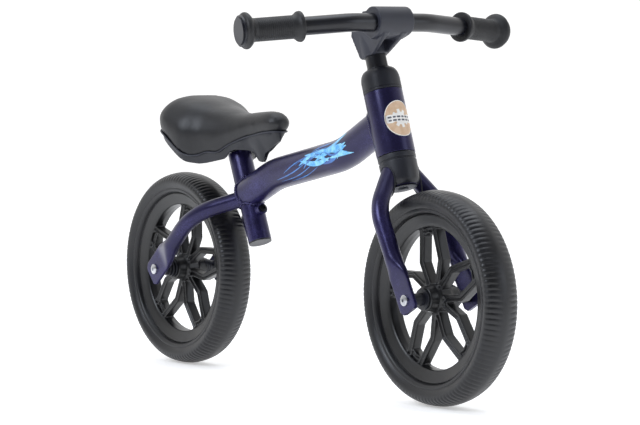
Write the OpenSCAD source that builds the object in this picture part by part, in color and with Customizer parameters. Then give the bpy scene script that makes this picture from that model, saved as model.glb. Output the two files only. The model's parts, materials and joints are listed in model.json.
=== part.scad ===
// Child's balance bike: a welded tube frame, two moulded wheels, no pedals and no brakes.
// +X is forward, +Y is the rider's left and +Z is up.
// The origin is on the ground, midway between the two axles.

/* [Overall] */
// Distance between the two axles
wheel_base = 546; // [455:1:656]
// Outer diameter of the tyres
wheel_d = 254; // [212:1:305]
// Lean of the steering axis away from vertical
head_angle = 19.66; // [17:0.01:22]
// Distance that the front axle sits ahead of the steering axis
fork_offset = 22.84; // [18:0.01:28]

/* [Wheels] */
// Width of the tyres
tyre_w = 46; // [38:0.5:52]
// Height of the tyre above the rim flange
tyre_h = 27; // [22:0.5:32]
// Height of the moulded rim, from its bore to its flange
rim_h = 14; // [12:0.5:18]
// Width of the rim over its flanges
rim_w = 28; // [24:0.5:34]
// Depth of the rim groove that the tyre sits in
rim_groove = 5; // [4:0.5:6]
// Pairs of spokes in a wheel
spoke_pairs = 5; // [4:1:6]
// Width of one spoke
spoke_w = 9; // [7:0.5:10]
// Depth of the spokes along the axle
spoke_depth = 16; // [12:0.5:20]
// Depth of the groove moulded into each face of a spoke
spoke_groove = 2.5; // [1:0.5:4]
// Diameter of the hub between the spokes
hub_d = 38; // [34:0.5:44]
// Diameter of the hub's bearing housings
hub_end_d = 30; // [28:0.5:33]
// Width of the hub over its bearings
hub_w = 44; // [38:0.5:50]
// Turn of the front wheel at rest, counted from the ground line
front_wheel_turn = 92; // [0:1:180]
// Turn of the rear wheel at rest
rear_wheel_turn = 82; // [0:1:180]

/* [Axles and bearings] */
// Diameter of the axle rods
axle_d = 10; // [9:0.5:11]
// Outer diameter of the wheel bearings
bearing_od = 22; // [21:0.5:24]
// Width of the wheel bearings
bearing_w = 6; // [5:0.5:8]
// Diameter of the balls in the wheel bearings
wheel_ball_d = 3.2; // [2.5:0.1:3.4]
// Diameter of the axle bolts' threads
axle_thread_d = 6; // [5:0.5:6.5]
// Diameter of the axle bolts' heads
bolt_head_d = 13; // [11:0.5:15]
// Height of the axle bolts' heads
bolt_head_h = 3.6; // [3:0.1:5]

/* [Frame] */
// Diameter of the main tube
main_d = 40; // [33:0.5:48]
// Diameter of the head tube
head_d = 47; // [45:0.5:50]
// Length of the head tube
head_len = 78.5; // [66:0.5:95]
// Wall of the head tube
head_wall = 2.5; // [2:0.1:3]
// Wall of the other frame tubes
tube_wall = 2; // [1.5:0.1:2.5]
// Diameter of the saddle's post
seat_post_d = 25.4; // [21:0.1:31]
// Wall of the seat tube around that post
seat_tube_wall = 2.2; // [1.8:0.1:3]
// Lean of the seat tube away from vertical
seat_angle = 23.07; // [20:0.01:26]
// Gap between the rear tyre and the point where main tube and seat tube cross
seat_tyre_gap = 20.8; // [15:0.1:40]
// Height of that point above the rear axle
seat_node_h = 104.6; // [95:0.1:125]
// Length of the seat tube above that point
seat_up = 56; // [50:0.5:66]
// Length of the seat tube below that point
seat_down = 65; // [55:0.5:75]
// Diameter of the rear stays
stay_d = 21; // [18:0.5:25]
// Slope of the stays where they run into the dropouts
stay_angle = 41; // [38:0.5:44]
// Distance from the bicycle's centre plane to the middle of a rear dropout
rear_drop_y = 48.5; // [47:0.5:56]
// Width of the rear dropouts
rear_drop_w = 34; // [30:0.5:38]
// Thickness of the flattened tube ends that hold the axles
drop_t = 4.5; // [4:0.1:6]

/* [Fork] */
// Diameter of the fork legs
leg_d = 20; // [17:0.5:24]
// Distance from the centre plane to the middle of a front dropout
front_drop_y = 47; // [45:0.5:54]
// Width of the front dropouts
front_drop_w = 31; // [28:0.5:34]
// Gap between the tyre and the underside of the crown
tyre_gap = 17.5; // [16:0.5:24]
// Height of the black cover around the fork crown
crown_h = 40; // [36:0.5:48]
// Outer diameter of the steerer tube
steerer_d = 28.6; // [27.6:0.1:30]

/* [Handlebar] */
// Diameter of the handlebar's post
bar_post_d = 25.4; // [24:0.1:25.8]
// Height of the domed cap on top of the head tube
dome_h = 32; // [28:0.5:38]
// Length of post that shows between the dome and the stem
post_show = 14; // [8:0.5:20]
// Distance that the handlebar sits ahead of the steering axis
stem_reach = 40; // [36:0.5:50]
// Height of the handlebar's centre above the foot of the stem
bar_rise = 29; // [25:0.5:33]
// Width of the stem
stem_w = 50; // [42:0.5:58]
// Diameter of the handlebar tube
bar_d = 22.2; // [19:0.1:26]
// Width of the handlebar over its tube ends
bar_w = 378; // [320:1:450]
// Length of straight tube on each side of the centre plane
bar_straight = 56; // [50:1:64]
// Backward sweep of the handlebar's ends
bar_sweep = 13.1; // [8:0.1:18]
// Downward slope of the handlebar's ends
bar_drop = 4.3; // [0:0.1:8]
// Length of a grip
grip_len = 72; // [60:0.5:90]
// Diameter of a grip
grip_d = 28; // [26:0.5:32]
// Diameter of the safety flange at a grip's outer end
grip_flange_d = 44; // [38:0.5:50]
// Diameter of the flange at a grip's inner end
grip_inner_d = 37; // [34:0.5:42]

/* [Saddle] */
// Length of the saddle
saddle_len = 228; // [190:1:274]
// Width of the saddle
saddle_w = 140; // [116:1:168]
// Height of the pan's top above the end of the seat tube
pan_top = 17; // [16:0.5:22]

/* [Travel] */
// Travel of the saddle, from its lowest place
saddle_travel = 30; // [10:1:32]
// Travel of the handlebar, from its lowest place
bar_travel = 45; // [20:1:50]

/* [Clearances] */
// Radial gap of a sliding or turning fit
fit_gap = 0.05; // [0.02:0.01:0.1]
// Gap between parts that move past each other
move_gap = 0.6; // [0.4:0.1:1]
// Gap between parts of one assembly that lie against each other
seat_gap = 0.2; // [0.1:0.05:0.3]
// Radial gap left in the solids where one part is pressed or glued into another
press_gap = 0.02; // [0.01:0.01:0.05]

/* [Hidden] */
$fn = 64;
EPS = 0.01;

// ---- Places ----
wheel_r = wheel_d / 2;
rear_axle_at = [-wheel_base / 2, 0, wheel_r];
front_axle_at = [wheel_base / 2, 0, wheel_r];

// Steering axis: local x is forward of it, local z runs up it from the height of the axle
head_up = [-sin(head_angle), 0, cos(head_angle)];
head_ahead = [cos(head_angle), 0, sin(head_angle)];
steer_foot = front_axle_at - fork_offset * head_ahead;
crown_s = sqrt(pow(wheel_r + tyre_gap, 2) - pow(fork_offset, 2));
head_s = crown_s + crown_h;
head_top_s = head_s + head_len;
dome_top_s = head_top_s + dome_h;
stem_s = dome_top_s + post_show;
bar_s = stem_s + bar_rise;

// Seat tube: local z runs up it from the point where the main tube meets it
seat_up_dir = [-sin(seat_angle), 0, cos(seat_angle)];
seat_node = [rear_axle_at[0] + wheel_r + seat_tyre_gap, 0, wheel_r + seat_node_h];
seat_tube_id = seat_post_d + 2 * fit_gap;
seat_tube_d = seat_tube_id + 2 * seat_tube_wall;
seat_top_at = seat_node + seat_up * seat_up_dir;

// ---- Headset ----
headset_ball_d = 4.76;
headset_balls = 16;
race_gap = 0.1;
race_h = 6;
race_split = 0.4;
cup_reach = 1.8;
cone_reach = 1.6;
head_id = head_d - 2 * head_wall;
ball_ring_r = head_id / 2 - 3.4;
lower_ball_s = head_s + 1.5;
upper_ball_s = head_top_s - 1.5;
lower_cone_s = lower_ball_s - race_split - race_h;
upper_cone_s = upper_ball_s + race_split + race_h;
steerer_id = bar_post_d + 2 * fit_gap;
cone_r = ball_ring_r + cone_reach;
nut_h = 6;
nut_flats = 34;
web_t = 2;
cover_wall = 2.4;
cover_d = head_d - 1;
cover_foot_d = head_d - 3;
dome_mouth_d = bar_post_d + 0.7;
crown_top_s = lower_cone_s - web_t;
crown_d = 37;
steerer_top_s = upper_cone_s + nut_h + web_t + 3;
plate_t = 2.5;
plate_d = crown_d - 1;
crown_bolt_d = 8;
crown_bolt_grip = 12;

// ---- Wheels ----
rim_r = wheel_r - tyre_h;
rim_bore_r = rim_r - rim_h;
rim_bed_r = rim_r - rim_groove;
flange_w = 2.5;
face_dish = 4;
tyre_fit = 0.1;
spoke_hub_y = 6.4;
spoke_kink_y = 18;
spoke_rim_y = 11;
spoke_kink_r = hub_d / 2 + 0.4 * (rim_bore_r - hub_d / 2);
spoke_pad = 8;
spoke_pad_lap = 0.7;
rib_w = 2;
hub_bore_d = axle_d + 5;
sleeve_d = axle_d + 3;
race_pitch_r = (bearing_od + axle_d) / 4;
bearing_balls = 8;
bearing_y = hub_w / 2 - bearing_w / 2;
spacer_d = 15;
spacer_ring_d = 25;
spacer_ring_t = 2.4;
spacer_ring_pitch = 4;
spacer_ring_step = 3;
thread_depth = 16;

// ---- Dropouts ----
drop_len = 24;
flat_len = 24;
drop_tail = 15;
drop_cut_back = 6;
drop_cut_front = 4;
flat_reach = drop_len + flat_len;
flat_wall = 3;
bolt_gap = 0.2;
bolt_rim = 0.55;
axle_thread_gap = 0.05;

// ---- Main tube: three straight runs and two bends ----
main_foot = seat_node;
main_bend_low = seat_node + [62.8, 0, 27.9];
main_head_s = head_s + 0.58 * head_len;
main_head = steer_foot + main_head_s * head_up;
main_bend_high = main_head + [-88.6, 0, -45.1];
main_bend_r = 150;

// ---- Rear stays ----
stay_bend_reach = wheel_r - 15;
stay_bend_r = 70;
stay_top_drop = 6;
stay_top_y = 9;

// ---- Fork legs, in the steering frame ----
leg_bend = [0.22 * fork_offset, front_drop_y, crown_s - 33];
leg_top = [0, 8, crown_s + 28];
leg_bend_r = 62;
leg_lean = atan((fork_offset - leg_bend[0]) / leg_bend[2]);

// ---- Handlebar, in the steering frame ----
bar_at = [stem_reach, 0, bar_s];
bar_tilt = head_angle;
bar_bend_r = 90;
bar_wall = 1.6;
grip_wall_gap = 0.15;
flange_t = 6;
inner_flange_t = 5;
block_d = 35;

// ---- Saddle, measured from the end of the seat tube ----
saddle_rear = -130 / 228 * saddle_len;
saddle_nose = 98 / 228 * saddle_len;
saddle_half = saddle_w / 2;
back_r = 36;
back_tuck = 8;
nose_r = 20;
cover_t = 3.5;
pan_wall = 2.5;
bracket_t = 3;
pan_roof = 3;
seat_hold = 88;
post_foot = max(seat_up - saddle_travel - seat_hold, 3 - seat_down);

// ---- Frames of reference ----
module at_head() {
    translate(steer_foot) rotate([0, -head_angle, 0]) children();
}

module at_seat() {
    translate(seat_node) rotate([0, -seat_angle, 0]) children();
}

module at_saddle() {
    translate(seat_top_at) children();
}

module across(at) {
    translate(at) rotate([90, 0, 0]) children();
}

module both_sides() {
    children();
    mirror([0, 1, 0]) children();
}

// ---- Tube helpers ----
// A straight run enters its bend by bend_lap and is bend_step thinner than it
bend_lap = 1;
bend_step = 0.1;

function unit(v) = v / norm(v);

// Cylinder of diameter d from point a to point b
module rod(a, b, d) {
    v = b - a;
    translate(a)
        rotate([0, acos(v[2] / norm(v)), atan2(v[1], v[0])])
            cylinder(d = d, h = norm(v));
}

// Bend of diameter d and radius r that rounds corner c between runs from a and to b
module elbow(a, c, b, r, d) {
    u = unit(c - a);
    v = unit(b - c);
    turn = acos(u * v);
    inward = unit(v - (u * v) * u);
    centre = c - r * tan(turn / 2) * u + r * inward;
    side = cross(-inward, u);
    multmatrix([
        [-inward[0], u[0], side[0], centre[0]],
        [-inward[1], u[1], side[1], centre[1]],
        [-inward[2], u[2], side[2], centre[2]],
        [0, 0, 0, 1]
    ])
        rotate_extrude(angle = turn, $fn = 180)
            translate([r, 0]) circle(d = d, $fn = 64);
}

// How far a bend of radius r eats into the runs either side of corner c
function bend_take(a, c, b, r) = r * tan(acos(unit(c - a) * unit(b - c)) / 2);

// How far a run stops short of point i, so that it just enters the bend there
function run_trim(points, i, r) =
    i == 0 || i == len(points) - 1 ? 0 : bend_take(points[i - 1], points[i], points[i + 1], r) - bend_lap;

// Bar of diameter d along points, with a bend of radius r at each inner point
module bent_bar(points, r, d) {
    last = len(points) - 1;
    for (i = [0 : last - 1]) {
        u = unit(points[i + 1] - points[i]);
        from = points[i] + run_trim(points, i, r) * u;
        to = points[i + 1] - run_trim(points, i + 1, r) * u;
        rod(from, to, d - bend_step);
    }
    for (i = [1 : last - 1])
        elbow(points[i - 1], points[i], points[i + 1], r, d);
}

// Ring turned about local z, from radius r0 to r1 and from z0 to z1
module ring(r0, r1, z0, z1) {
    translate([0, 0, z0])
        difference() {
            cylinder(r = r1, h = z1 - z0);
            translate([0, 0, -1]) cylinder(r = r0, h = z1 - z0 + 2);
        }
}

// Thrust race: a ring with a ball groove that is centred at height ball_z
module race(r0, r1, z0, z1, pitch_r, ball_z, ball_d) {
    rotate_extrude()
        difference() {
            translate([r0, z0]) square([r1 - r0, z1 - z0]);
            translate([pitch_r, ball_z]) circle(d = ball_d + 2 * race_gap, $fn = 32);
        }
}

module ball_circle(count, pitch_r, z, d) {
    for (i = [0 : count - 1])
        rotate([0, 0, i * 360 / count])
            translate([pitch_r, 0, z]) sphere(d = d, $fn = 24);
}

// Domed bolt head on a shank, head upward, with its seat at z = 0
module dome_bolt(head_d, head_h, shank_d, shank_len, socket) {
    dome = head_h * (1 - bolt_rim);
    ball_r = (pow(head_d / 2, 2) + pow(dome, 2)) / (2 * dome);
    difference() {
        union() {
            intersection() {
                cylinder(d = head_d, h = head_h);
                translate([0, 0, head_h - ball_r]) sphere(r = ball_r, $fn = 96);
            }
            translate([0, 0, -shank_len]) cylinder(d = shank_d, h = shank_len + EPS);
        }
        translate([0, 0, head_h - 2]) cylinder(d = socket, h = 3, $fn = 6);
    }
}

// ---- Frame tubes ----
module head_tube() {
    color("darkslateblue")
        at_head() ring(head_id / 2, head_d / 2, head_s, head_top_s);
}

module main_run(d) {
    bent_bar([main_foot, main_bend_low, main_bend_high, main_head], main_bend_r, d);
}

module main_tube() {
    color("darkslateblue")
        difference() {
            main_run(main_d);
            main_run(main_d - 2 * tube_wall);
            at_head() translate([0, 0, head_s - 40]) cylinder(d = head_d, h = head_len + 80);
            at_seat() translate([0, 0, -seat_down]) cylinder(d = seat_tube_d, h = seat_up + seat_down);
        }
}

// Saddle lock: a boss and a bolt on the front of the seat tube, just below the main tube
boss_d = 14;
boss_out = seat_tube_d / 2 + 7;
lock_z = -(main_d + boss_d) / 2 - 1;
lock_thread_d = 6;
lock_tip_gap = 0.35;

module seat_tube() {
    color("darkslateblue")
        at_seat()
            difference() {
                translate([0, 0, -seat_down]) cylinder(d = seat_tube_d, h = seat_up + seat_down);
                translate([0, 0, -seat_down - 1]) cylinder(d = seat_tube_id, h = seat_up + seat_down + 2);
                translate([0, 0, lock_z]) rotate([0, 90, 0])
                    cylinder(d = lock_thread_d + 2 * bolt_gap, h = seat_tube_d);
            }
}

module seat_tube_plug() {
    color("dimgray")
        at_seat() {
            translate([0, 0, -seat_down - 2]) cylinder(d = seat_tube_d - 0.6, h = 2);
            translate([0, 0, -seat_down - EPS]) cylinder(d = seat_tube_id, h = 2.5);
        }
}

module seat_lock_boss() {
    color("darkslateblue")
        at_seat()
            difference() {
                translate([0, 0, lock_z]) rotate([0, 90, 0]) cylinder(d = boss_d, h = boss_out);
                translate([0, 0, -seat_down]) cylinder(d = seat_tube_d, h = seat_up + seat_down);
                translate([0, 0, lock_z]) rotate([0, 90, 0])
                    cylinder(d = lock_thread_d + 2 * axle_thread_gap, h = boss_out + 1);
            }
}

module seat_lock_bolt() {
    color("dimgray")
        at_seat()
            translate([boss_out, 0, lock_z]) rotate([0, 90, 0])
                dome_bolt(head_d = 10, head_h = 4, shank_d = lock_thread_d,
                    shank_len = boss_out - seat_post_d / 2 - lock_tip_gap, socket = 4.6);
}

// Flattened tube end around an axle. Local z runs up the tube and local y is the tube's flat side.
module dropout(w, d) {
    half = w / 2;
    rotate([90, 0, 0])
        translate([0, 0, -drop_t / 2])
            linear_extrude(drop_t)
                polygon([
                    [-half, drop_len], [-half, drop_cut_back - drop_tail], [drop_cut_back - half, -drop_tail],
                    [half - drop_cut_front, -drop_tail], [half, drop_cut_front - drop_tail], [half, drop_len]
                ]);
    intersection() {
        translate([0, 0, drop_len - 1]) cylinder(d1 = w - 0.2, d2 = d - 0.7, h = flat_len + 2);
        rotate([90, 0, 90])
            translate([0, 0, -half])
                linear_extrude(w)
                    polygon([
                        [0.05 - drop_t / 2, drop_len - 1], [-d / 2 - 1, flat_reach - 4],
                        [-d / 2 - 1, flat_reach + 2], [d / 2 + 1, flat_reach + 2],
                        [d / 2 + 1, flat_reach - 4], [drop_t / 2 - 0.05, drop_len - 1]
                    ]);
    }
}

module axle_hole() {
    rotate([90, 0, 0])
        translate([0, 0, -drop_t]) cylinder(d = axle_thread_d + 2 * bolt_gap, h = 2 * drop_t);
}

// Right-hand rear stay: a bent tube from the seat tube, flattened around the axle
stay_drop_at = [rear_axle_at[0], -rear_drop_y, rear_axle_at[2]];
stay_dir = [cos(stay_angle), 0, sin(stay_angle)];
stay_bend = stay_drop_at + stay_bend_reach * stay_dir;
stay_foot = stay_drop_at + flat_reach * stay_dir;
stay_top = seat_node + [0, -stay_top_y, -stay_top_drop];

module stay_path(d, from) {
    bent_bar([stay_foot + from * stay_dir, stay_bend, stay_top], stay_bend_r, d);
}

module stay_right() {
    color("darkslateblue")
        difference() {
            union() {
                stay_path(stay_d, 0);
                translate(stay_drop_at) rotate([0, 90 - stay_angle, 0]) dropout(rear_drop_w, stay_d);
            }
            stay_path(stay_d - 2 * tube_wall, flat_wall);
            translate(stay_drop_at) axle_hole();
            at_seat() translate([0, 0, -seat_down]) cylinder(d = seat_tube_d, h = seat_up + seat_down);
            main_run(main_d);
        }
}

module stay_left() {
    mirror([0, 1, 0]) stay_right();
}

// ---- Headset ----
module upper_cup() {
    color("silver")
        at_head() race(ball_ring_r - cup_reach, head_id / 2, upper_ball_s - race_split - race_h,
            upper_ball_s - race_split, ball_ring_r, upper_ball_s, headset_ball_d);
}

module lower_cup() {
    color("silver")
        at_head() race(ball_ring_r - cup_reach, head_id / 2, lower_ball_s + race_split,
            lower_ball_s + race_split + race_h, ball_ring_r, lower_ball_s, headset_ball_d);
}

module upper_balls() {
    color("lightgray") at_head() ball_circle(headset_balls, ball_ring_r, upper_ball_s, headset_ball_d);
}

module lower_balls() {
    color("lightgray") at_head() ball_circle(headset_balls, ball_ring_r, lower_ball_s, headset_ball_d);
}

module upper_cone() {
    color("silver")
        at_head() race(steerer_d / 2, cone_r, upper_ball_s + race_split, upper_cone_s,
            ball_ring_r, upper_ball_s, headset_ball_d);
}

module lower_cone() {
    color("silver")
        at_head() race(steerer_d / 2, cone_r, lower_cone_s, lower_ball_s - race_split,
            ball_ring_r, lower_ball_s, headset_ball_d);
}

module lock_nut() {
    color("silver")
        at_head()
            translate([0, 0, upper_cone_s])
                difference() {
                    cylinder(d = nut_flats / cos(30), h = nut_h, $fn = 6);
                    translate([0, 0, -1]) cylinder(d = steerer_d, h = nut_h + 2);
                }
}

// ---- Fork ----
module steerer_tube() {
    color("silver") at_head() ring(steerer_id / 2, steerer_d / 2, crown_s + 1, steerer_top_s);
}

module fork_crown() {
    color("darkslateblue") at_head() ring(steerer_d / 2, crown_d / 2, crown_s, crown_top_s);
}

module leg_path(d, from) {
    reach = flat_reach + from;
    bent_bar([
        [fork_offset - reach * sin(leg_lean), -front_drop_y, reach * cos(leg_lean)],
        [leg_bend[0], -leg_bend[1], leg_bend[2]],
        [leg_top[0], -leg_top[1], leg_top[2]]
    ], leg_bend_r, d);
}

module crown_cover() {
    mouth = head_s - move_gap;
    color("dimgray")
        at_head()
            difference() {
                rotate_extrude()
                    polygon([
                        [steerer_d / 2, crown_top_s], [cover_d / 2 - cover_wall, crown_top_s],
                        [cover_foot_d / 2 - cover_wall, crown_s], [cover_foot_d / 2, crown_s],
                        [cover_d / 2, mouth - 8], [cover_d / 2 - 1.2, mouth - 7], [cover_d / 2, mouth - 6],
                        [cover_d / 2, mouth], [cover_d / 2 - cover_wall, mouth],
                        [cover_d / 2 - cover_wall, crown_top_s + web_t], [steerer_d / 2, crown_top_s + web_t]
                    ]);
                both_sides() leg_path(leg_d + 0.8, 0);
            }
}

module crown_plate() {
    color("silver")
        at_head()
            translate([0, 0, crown_s - plate_t])
                difference() {
                    cylinder(d = plate_d, h = plate_t);
                    translate([0, 0, -1]) cylinder(d = crown_bolt_d + 2 * bolt_gap, h = plate_t + 2);
                }
}

module crown_bolt() {
    color("silver")
        at_head()
            translate([0, 0, crown_s - plate_t])
                rotate([180, 0, 0]) {
                    cylinder(d = 15, h = 4, $fn = 6);
                    translate([0, 0, -plate_t - crown_bolt_grip])
                        cylinder(d = crown_bolt_d, h = plate_t + crown_bolt_grip + EPS);
                    translate([0, 0, -plate_t - crown_bolt_grip])
                        cylinder(d = steerer_id, h = crown_bolt_grip - 4);
                }
}

module fork_leg_right() {
    color("darkslateblue")
        at_head()
            difference() {
                union() {
                    leg_path(leg_d, 0);
                    translate([fork_offset, -front_drop_y, 0]) rotate([0, -leg_lean, 0])
                        dropout(front_drop_w, leg_d);
                }
                leg_path(leg_d - 2 * tube_wall, flat_wall);
                translate([fork_offset, -front_drop_y, 0]) axle_hole();
                translate([0, 0, crown_s - 20]) cylinder(d = crown_d, h = 80);
            }
}

module fork_leg_left() {
    mirror([0, 1, 0]) fork_leg_right();
}

module dome_cap() {
    base = head_top_s + move_gap;
    shoulder = base + 0.42 * dome_h;
    round_r = dome_top_s - shoulder;
    wall = 2.4;
    web = upper_cone_s + nut_h;
    color("dimgray")
        at_head()
            rotate_extrude()
                difference() {
                    union() {
                        translate([0, base]) square([head_d / 2, shoulder - base]);
                        intersection() {
                            translate([head_d / 2 - round_r, shoulder]) circle(r = round_r);
                            translate([0, shoulder - EPS]) square([head_d / 2, round_r + EPS]);
                        }
                        translate([0, shoulder - EPS]) square([head_d / 2 - round_r, round_r + EPS]);
                    }
                    translate([0, base - 1]) square([head_d / 2 - wall, web - base + 1]);
                    translate([0, web - EPS]) square([steerer_d / 2 + 0.4, steerer_top_s + 1.5 - web]);
                    translate([0, base - 1]) square([dome_mouth_d / 2, 2 * dome_h]);
                }
}

// ---- Wheel parts, made about local z and then laid across the bicycle ----
module wheel_place(at, turn) {
    across(at) rotate([0, 0, turn]) children();
}

// One spoke, drawn along x on the +y side of its pair, with a mitred kink
module spoke_2d(w) {
    line = [[hub_d / 2 - 4, spoke_hub_y], [spoke_kink_r, spoke_kink_y], [rim_bore_r + 1, spoke_rim_y]];
    u = unit(line[1] - line[0]);
    v = unit(line[2] - line[1]);
    side_u = w / 2 * [-u[1], u[0]];
    side_v = w / 2 * [-v[1], v[0]];
    mitre = (side_u + side_v) * 2 / (norm(side_u + side_v) * norm(side_u + side_v)) * pow(w / 2, 2);
    polygon([
        line[0] + side_u, line[1] + mitre, line[2] + side_v,
        line[2] - side_v, line[1] - mitre, line[0] - side_u
    ]);
}

module spoke_pairs_2d(w) {
    for (i = [0 : spoke_pairs - 1])
        rotate(i * 360 / spoke_pairs) {
            spoke_2d(w);
            mirror([0, 1]) spoke_2d(w);
        }
}

module spoke_pads_2d() {
    for (i = [0 : spoke_pairs - 1])
        rotate(i * 360 / spoke_pairs)
            translate([rim_bore_r - spoke_pad, -spoke_rim_y - 1])
                square([spoke_pad + spoke_pad_lap, 2 * spoke_rim_y + 2]);
}

module rim_profile() {
    half = rim_w / 2;
    bore = half - face_dish;
    polygon([
        [rim_bore_r, -bore], [rim_r, -half], [rim_r, flange_w - half], [rim_bed_r, flange_w - half],
        [rim_bed_r, half - flange_w], [rim_r, half - flange_w], [rim_r, half], [rim_bore_r, bore],
        [rim_bore_r - 1.5, 0]
    ]);
}

module wheel_moulding() {
    difference() {
        union() {
            rotate_extrude($fn = 128) rim_profile();
            translate([0, 0, -spoke_depth / 2]) linear_extrude(spoke_depth) spoke_pairs_2d(spoke_w);
            translate([0, 0, -spoke_depth / 3]) linear_extrude(2 * spoke_depth / 3) spoke_pads_2d();
            translate([0, 0, -spoke_depth / 2 - 2]) cylinder(d = hub_d, h = spoke_depth + 4);
            translate([0, 0, -hub_w / 2]) cylinder(d = hub_end_d, h = hub_w);
        }
        for (face = [0, 1])
            mirror([0, 0, face])
                translate([0, 0, spoke_depth / 2 - spoke_groove])
                    linear_extrude(spoke_groove + 1)
                        difference() {
                            spoke_pairs_2d(spoke_w - 2 * rib_w);
                            circle(d = hub_d + 1);
                            difference() {
                                circle(r = rim_r);
                                circle(r = rim_bore_r - 2.5);
                            }
                        }
        translate([0, 0, -hub_w]) cylinder(d = hub_bore_d, h = 2 * hub_w);
        for (face = [0, 1])
            mirror([0, 0, face])
                translate([0, 0, hub_w / 2 - bearing_w])
                    cylinder(d = bearing_od + 2 * press_gap, h = bearing_w + 1);
    }
}

module tyre_profile() {
    half = tyre_w / 2;
    round_r = 14;
    crown_r = 45;
    foot = rim_w / 2 + 5.5;
    difference() {
        intersection() {
            translate([wheel_r - crown_r, 0]) circle(r = crown_r, $fn = 128);
            union() {
                for (side = [-1, 1])
                    translate([wheel_r - round_r, side * (half - round_r)]) circle(r = round_r);
                translate([wheel_r - round_r, round_r - half]) square([round_r, tyre_w - 2 * round_r]);
                polygon([
                    [rim_bed_r + tyre_fit, -foot], [rim_r, -foot], [wheel_r - round_r, -half],
                    [wheel_r - round_r, half], [rim_r, foot], [rim_bed_r + tyre_fit, foot]
                ]);
            }
        }
        for (side = [0, 1])
            mirror([0, side])
                translate([rim_bed_r - 1, rim_w / 2 - flange_w - tyre_fit])
                    square([rim_groove + 1 + tyre_fit, rim_w]);
    }
}

module tyre() {
    rotate_extrude($fn = 128) tyre_profile();
}

module bearing_pair() {
    for (side = [-1, 1])
        translate([0, 0, side * bearing_y]) children();
}

module bearing_outer() {
    race(race_pitch_r + race_gap + 1, bearing_od / 2, -bearing_w / 2, bearing_w / 2,
        race_pitch_r, 0, wheel_ball_d);
}

module bearing_inner() {
    race(axle_d / 2, race_pitch_r - race_gap - 1, -bearing_w / 2, bearing_w / 2,
        race_pitch_r, 0, wheel_ball_d);
}

module bearing_ball_ring() {
    ball_circle(bearing_balls, race_pitch_r, 0, wheel_ball_d);
}

// Fixed parts of one hub, between dropouts whose middles are drop_y off the centre plane
module axle_rod(drop_y) {
    reach = drop_y - drop_t / 2;
    difference() {
        translate([0, 0, -reach]) cylinder(d = axle_d, h = 2 * reach);
        for (face = [0, 1])
            mirror([0, 0, face])
                translate([0, 0, reach - thread_depth])
                    cylinder(d = axle_thread_d + 2 * axle_thread_gap, h = thread_depth + 1);
    }
}

module axle_bolts(drop_y) {
    for (face = [0, 1])
        mirror([0, 0, face])
            translate([0, 0, drop_y + drop_t / 2])
                dome_bolt(head_d = bolt_head_d, head_h = bolt_head_h, shank_d = axle_thread_d,
                    shank_len = drop_t + thread_depth - 3, socket = 4.6);
}

module spacers(drop_y, rings) {
    start = hub_w / 2;
    reach = drop_y - drop_t / 2;
    for (face = [0, 1])
        mirror([0, 0, face])
            difference() {
                union() {
                    translate([0, 0, start]) cylinder(r = race_pitch_r - race_gap - 1, h = 1);
                    translate([0, 0, start + move_gap]) cylinder(d = spacer_d, h = reach - start - move_gap);
                    for (i = [0 : rings - 1])
                        translate([0, 0, start + move_gap + spacer_ring_pitch * i])
                            cylinder(d = spacer_ring_d - spacer_ring_step * i, h = spacer_ring_t);
                }
                translate([0, 0, start - 1]) cylinder(d = axle_d + 2 * fit_gap, h = reach);
            }
}

module hub_sleeve() {
    reach = hub_w / 2 - bearing_w;
    ring(axle_d / 2 + fit_gap, sleeve_d / 2, -reach, reach);
}

module front_axle() {
    color("silver") wheel_place(front_axle_at, 0) axle_rod(front_drop_y);
}

module front_axle_bolts() {
    color("silver") wheel_place(front_axle_at, 0) axle_bolts(front_drop_y);
}

module front_spacers() {
    color("dimgray") wheel_place(front_axle_at, 0) spacers(front_drop_y, 1);
}

module front_hub_sleeve() {
    color("silver") wheel_place(front_axle_at, 0) hub_sleeve();
}

module front_bearing_inners() {
    color("silver") wheel_place(front_axle_at, 0) bearing_pair() bearing_inner();
}

module rear_axle() {
    color("silver") wheel_place(rear_axle_at, 0) axle_rod(rear_drop_y);
}

module rear_axle_bolts() {
    color("silver") wheel_place(rear_axle_at, 0) axle_bolts(rear_drop_y);
}

module rear_spacers() {
    color("dimgray") wheel_place(rear_axle_at, 0) spacers(rear_drop_y, 3);
}

module rear_hub_sleeve() {
    color("silver") wheel_place(rear_axle_at, 0) hub_sleeve();
}

module rear_bearing_inners() {
    color("silver") wheel_place(rear_axle_at, 0) bearing_pair() bearing_inner();
}

module front_wheel() {
    color("dimgray") wheel_place(front_axle_at, front_wheel_turn) wheel_moulding();
}

module front_tyre() {
    color("darkslategray") wheel_place(front_axle_at, 0) tyre();
}

module front_bearing_outers() {
    color("silver") wheel_place(front_axle_at, 0) bearing_pair() bearing_outer();
}

module front_bearing_balls() {
    color("lightgray") wheel_place(front_axle_at, 0) bearing_pair() bearing_ball_ring();
}

module rear_wheel() {
    color("dimgray") wheel_place(rear_axle_at, rear_wheel_turn) wheel_moulding();
}

module rear_tyre() {
    color("darkslategray") wheel_place(rear_axle_at, 0) tyre();
}

module rear_bearing_outers() {
    color("silver") wheel_place(rear_axle_at, 0) bearing_pair() bearing_outer();
}

module rear_bearing_balls() {
    color("lightgray") wheel_place(rear_axle_at, 0) bearing_pair() bearing_ball_ring();
}

// ---- Handlebar post and its expander ----
bar_hold = 41;
post_foot_s = steerer_top_s - bar_travel - bar_hold;
wedge_tilt = 30;
post_id = bar_post_d - 5;
expander_d = 8;
expander_head_d = 13;
expander_head_h = 7;
post_wedge = 20;
stem_bore_d = 18;
stem_post_top = bar_s - 4;

module wedge_cutter() {
    translate([0, 0, post_foot_s]) rotate([0, wedge_tilt, 0]) translate([-60, -60, -120]) cube(120);
}

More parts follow.
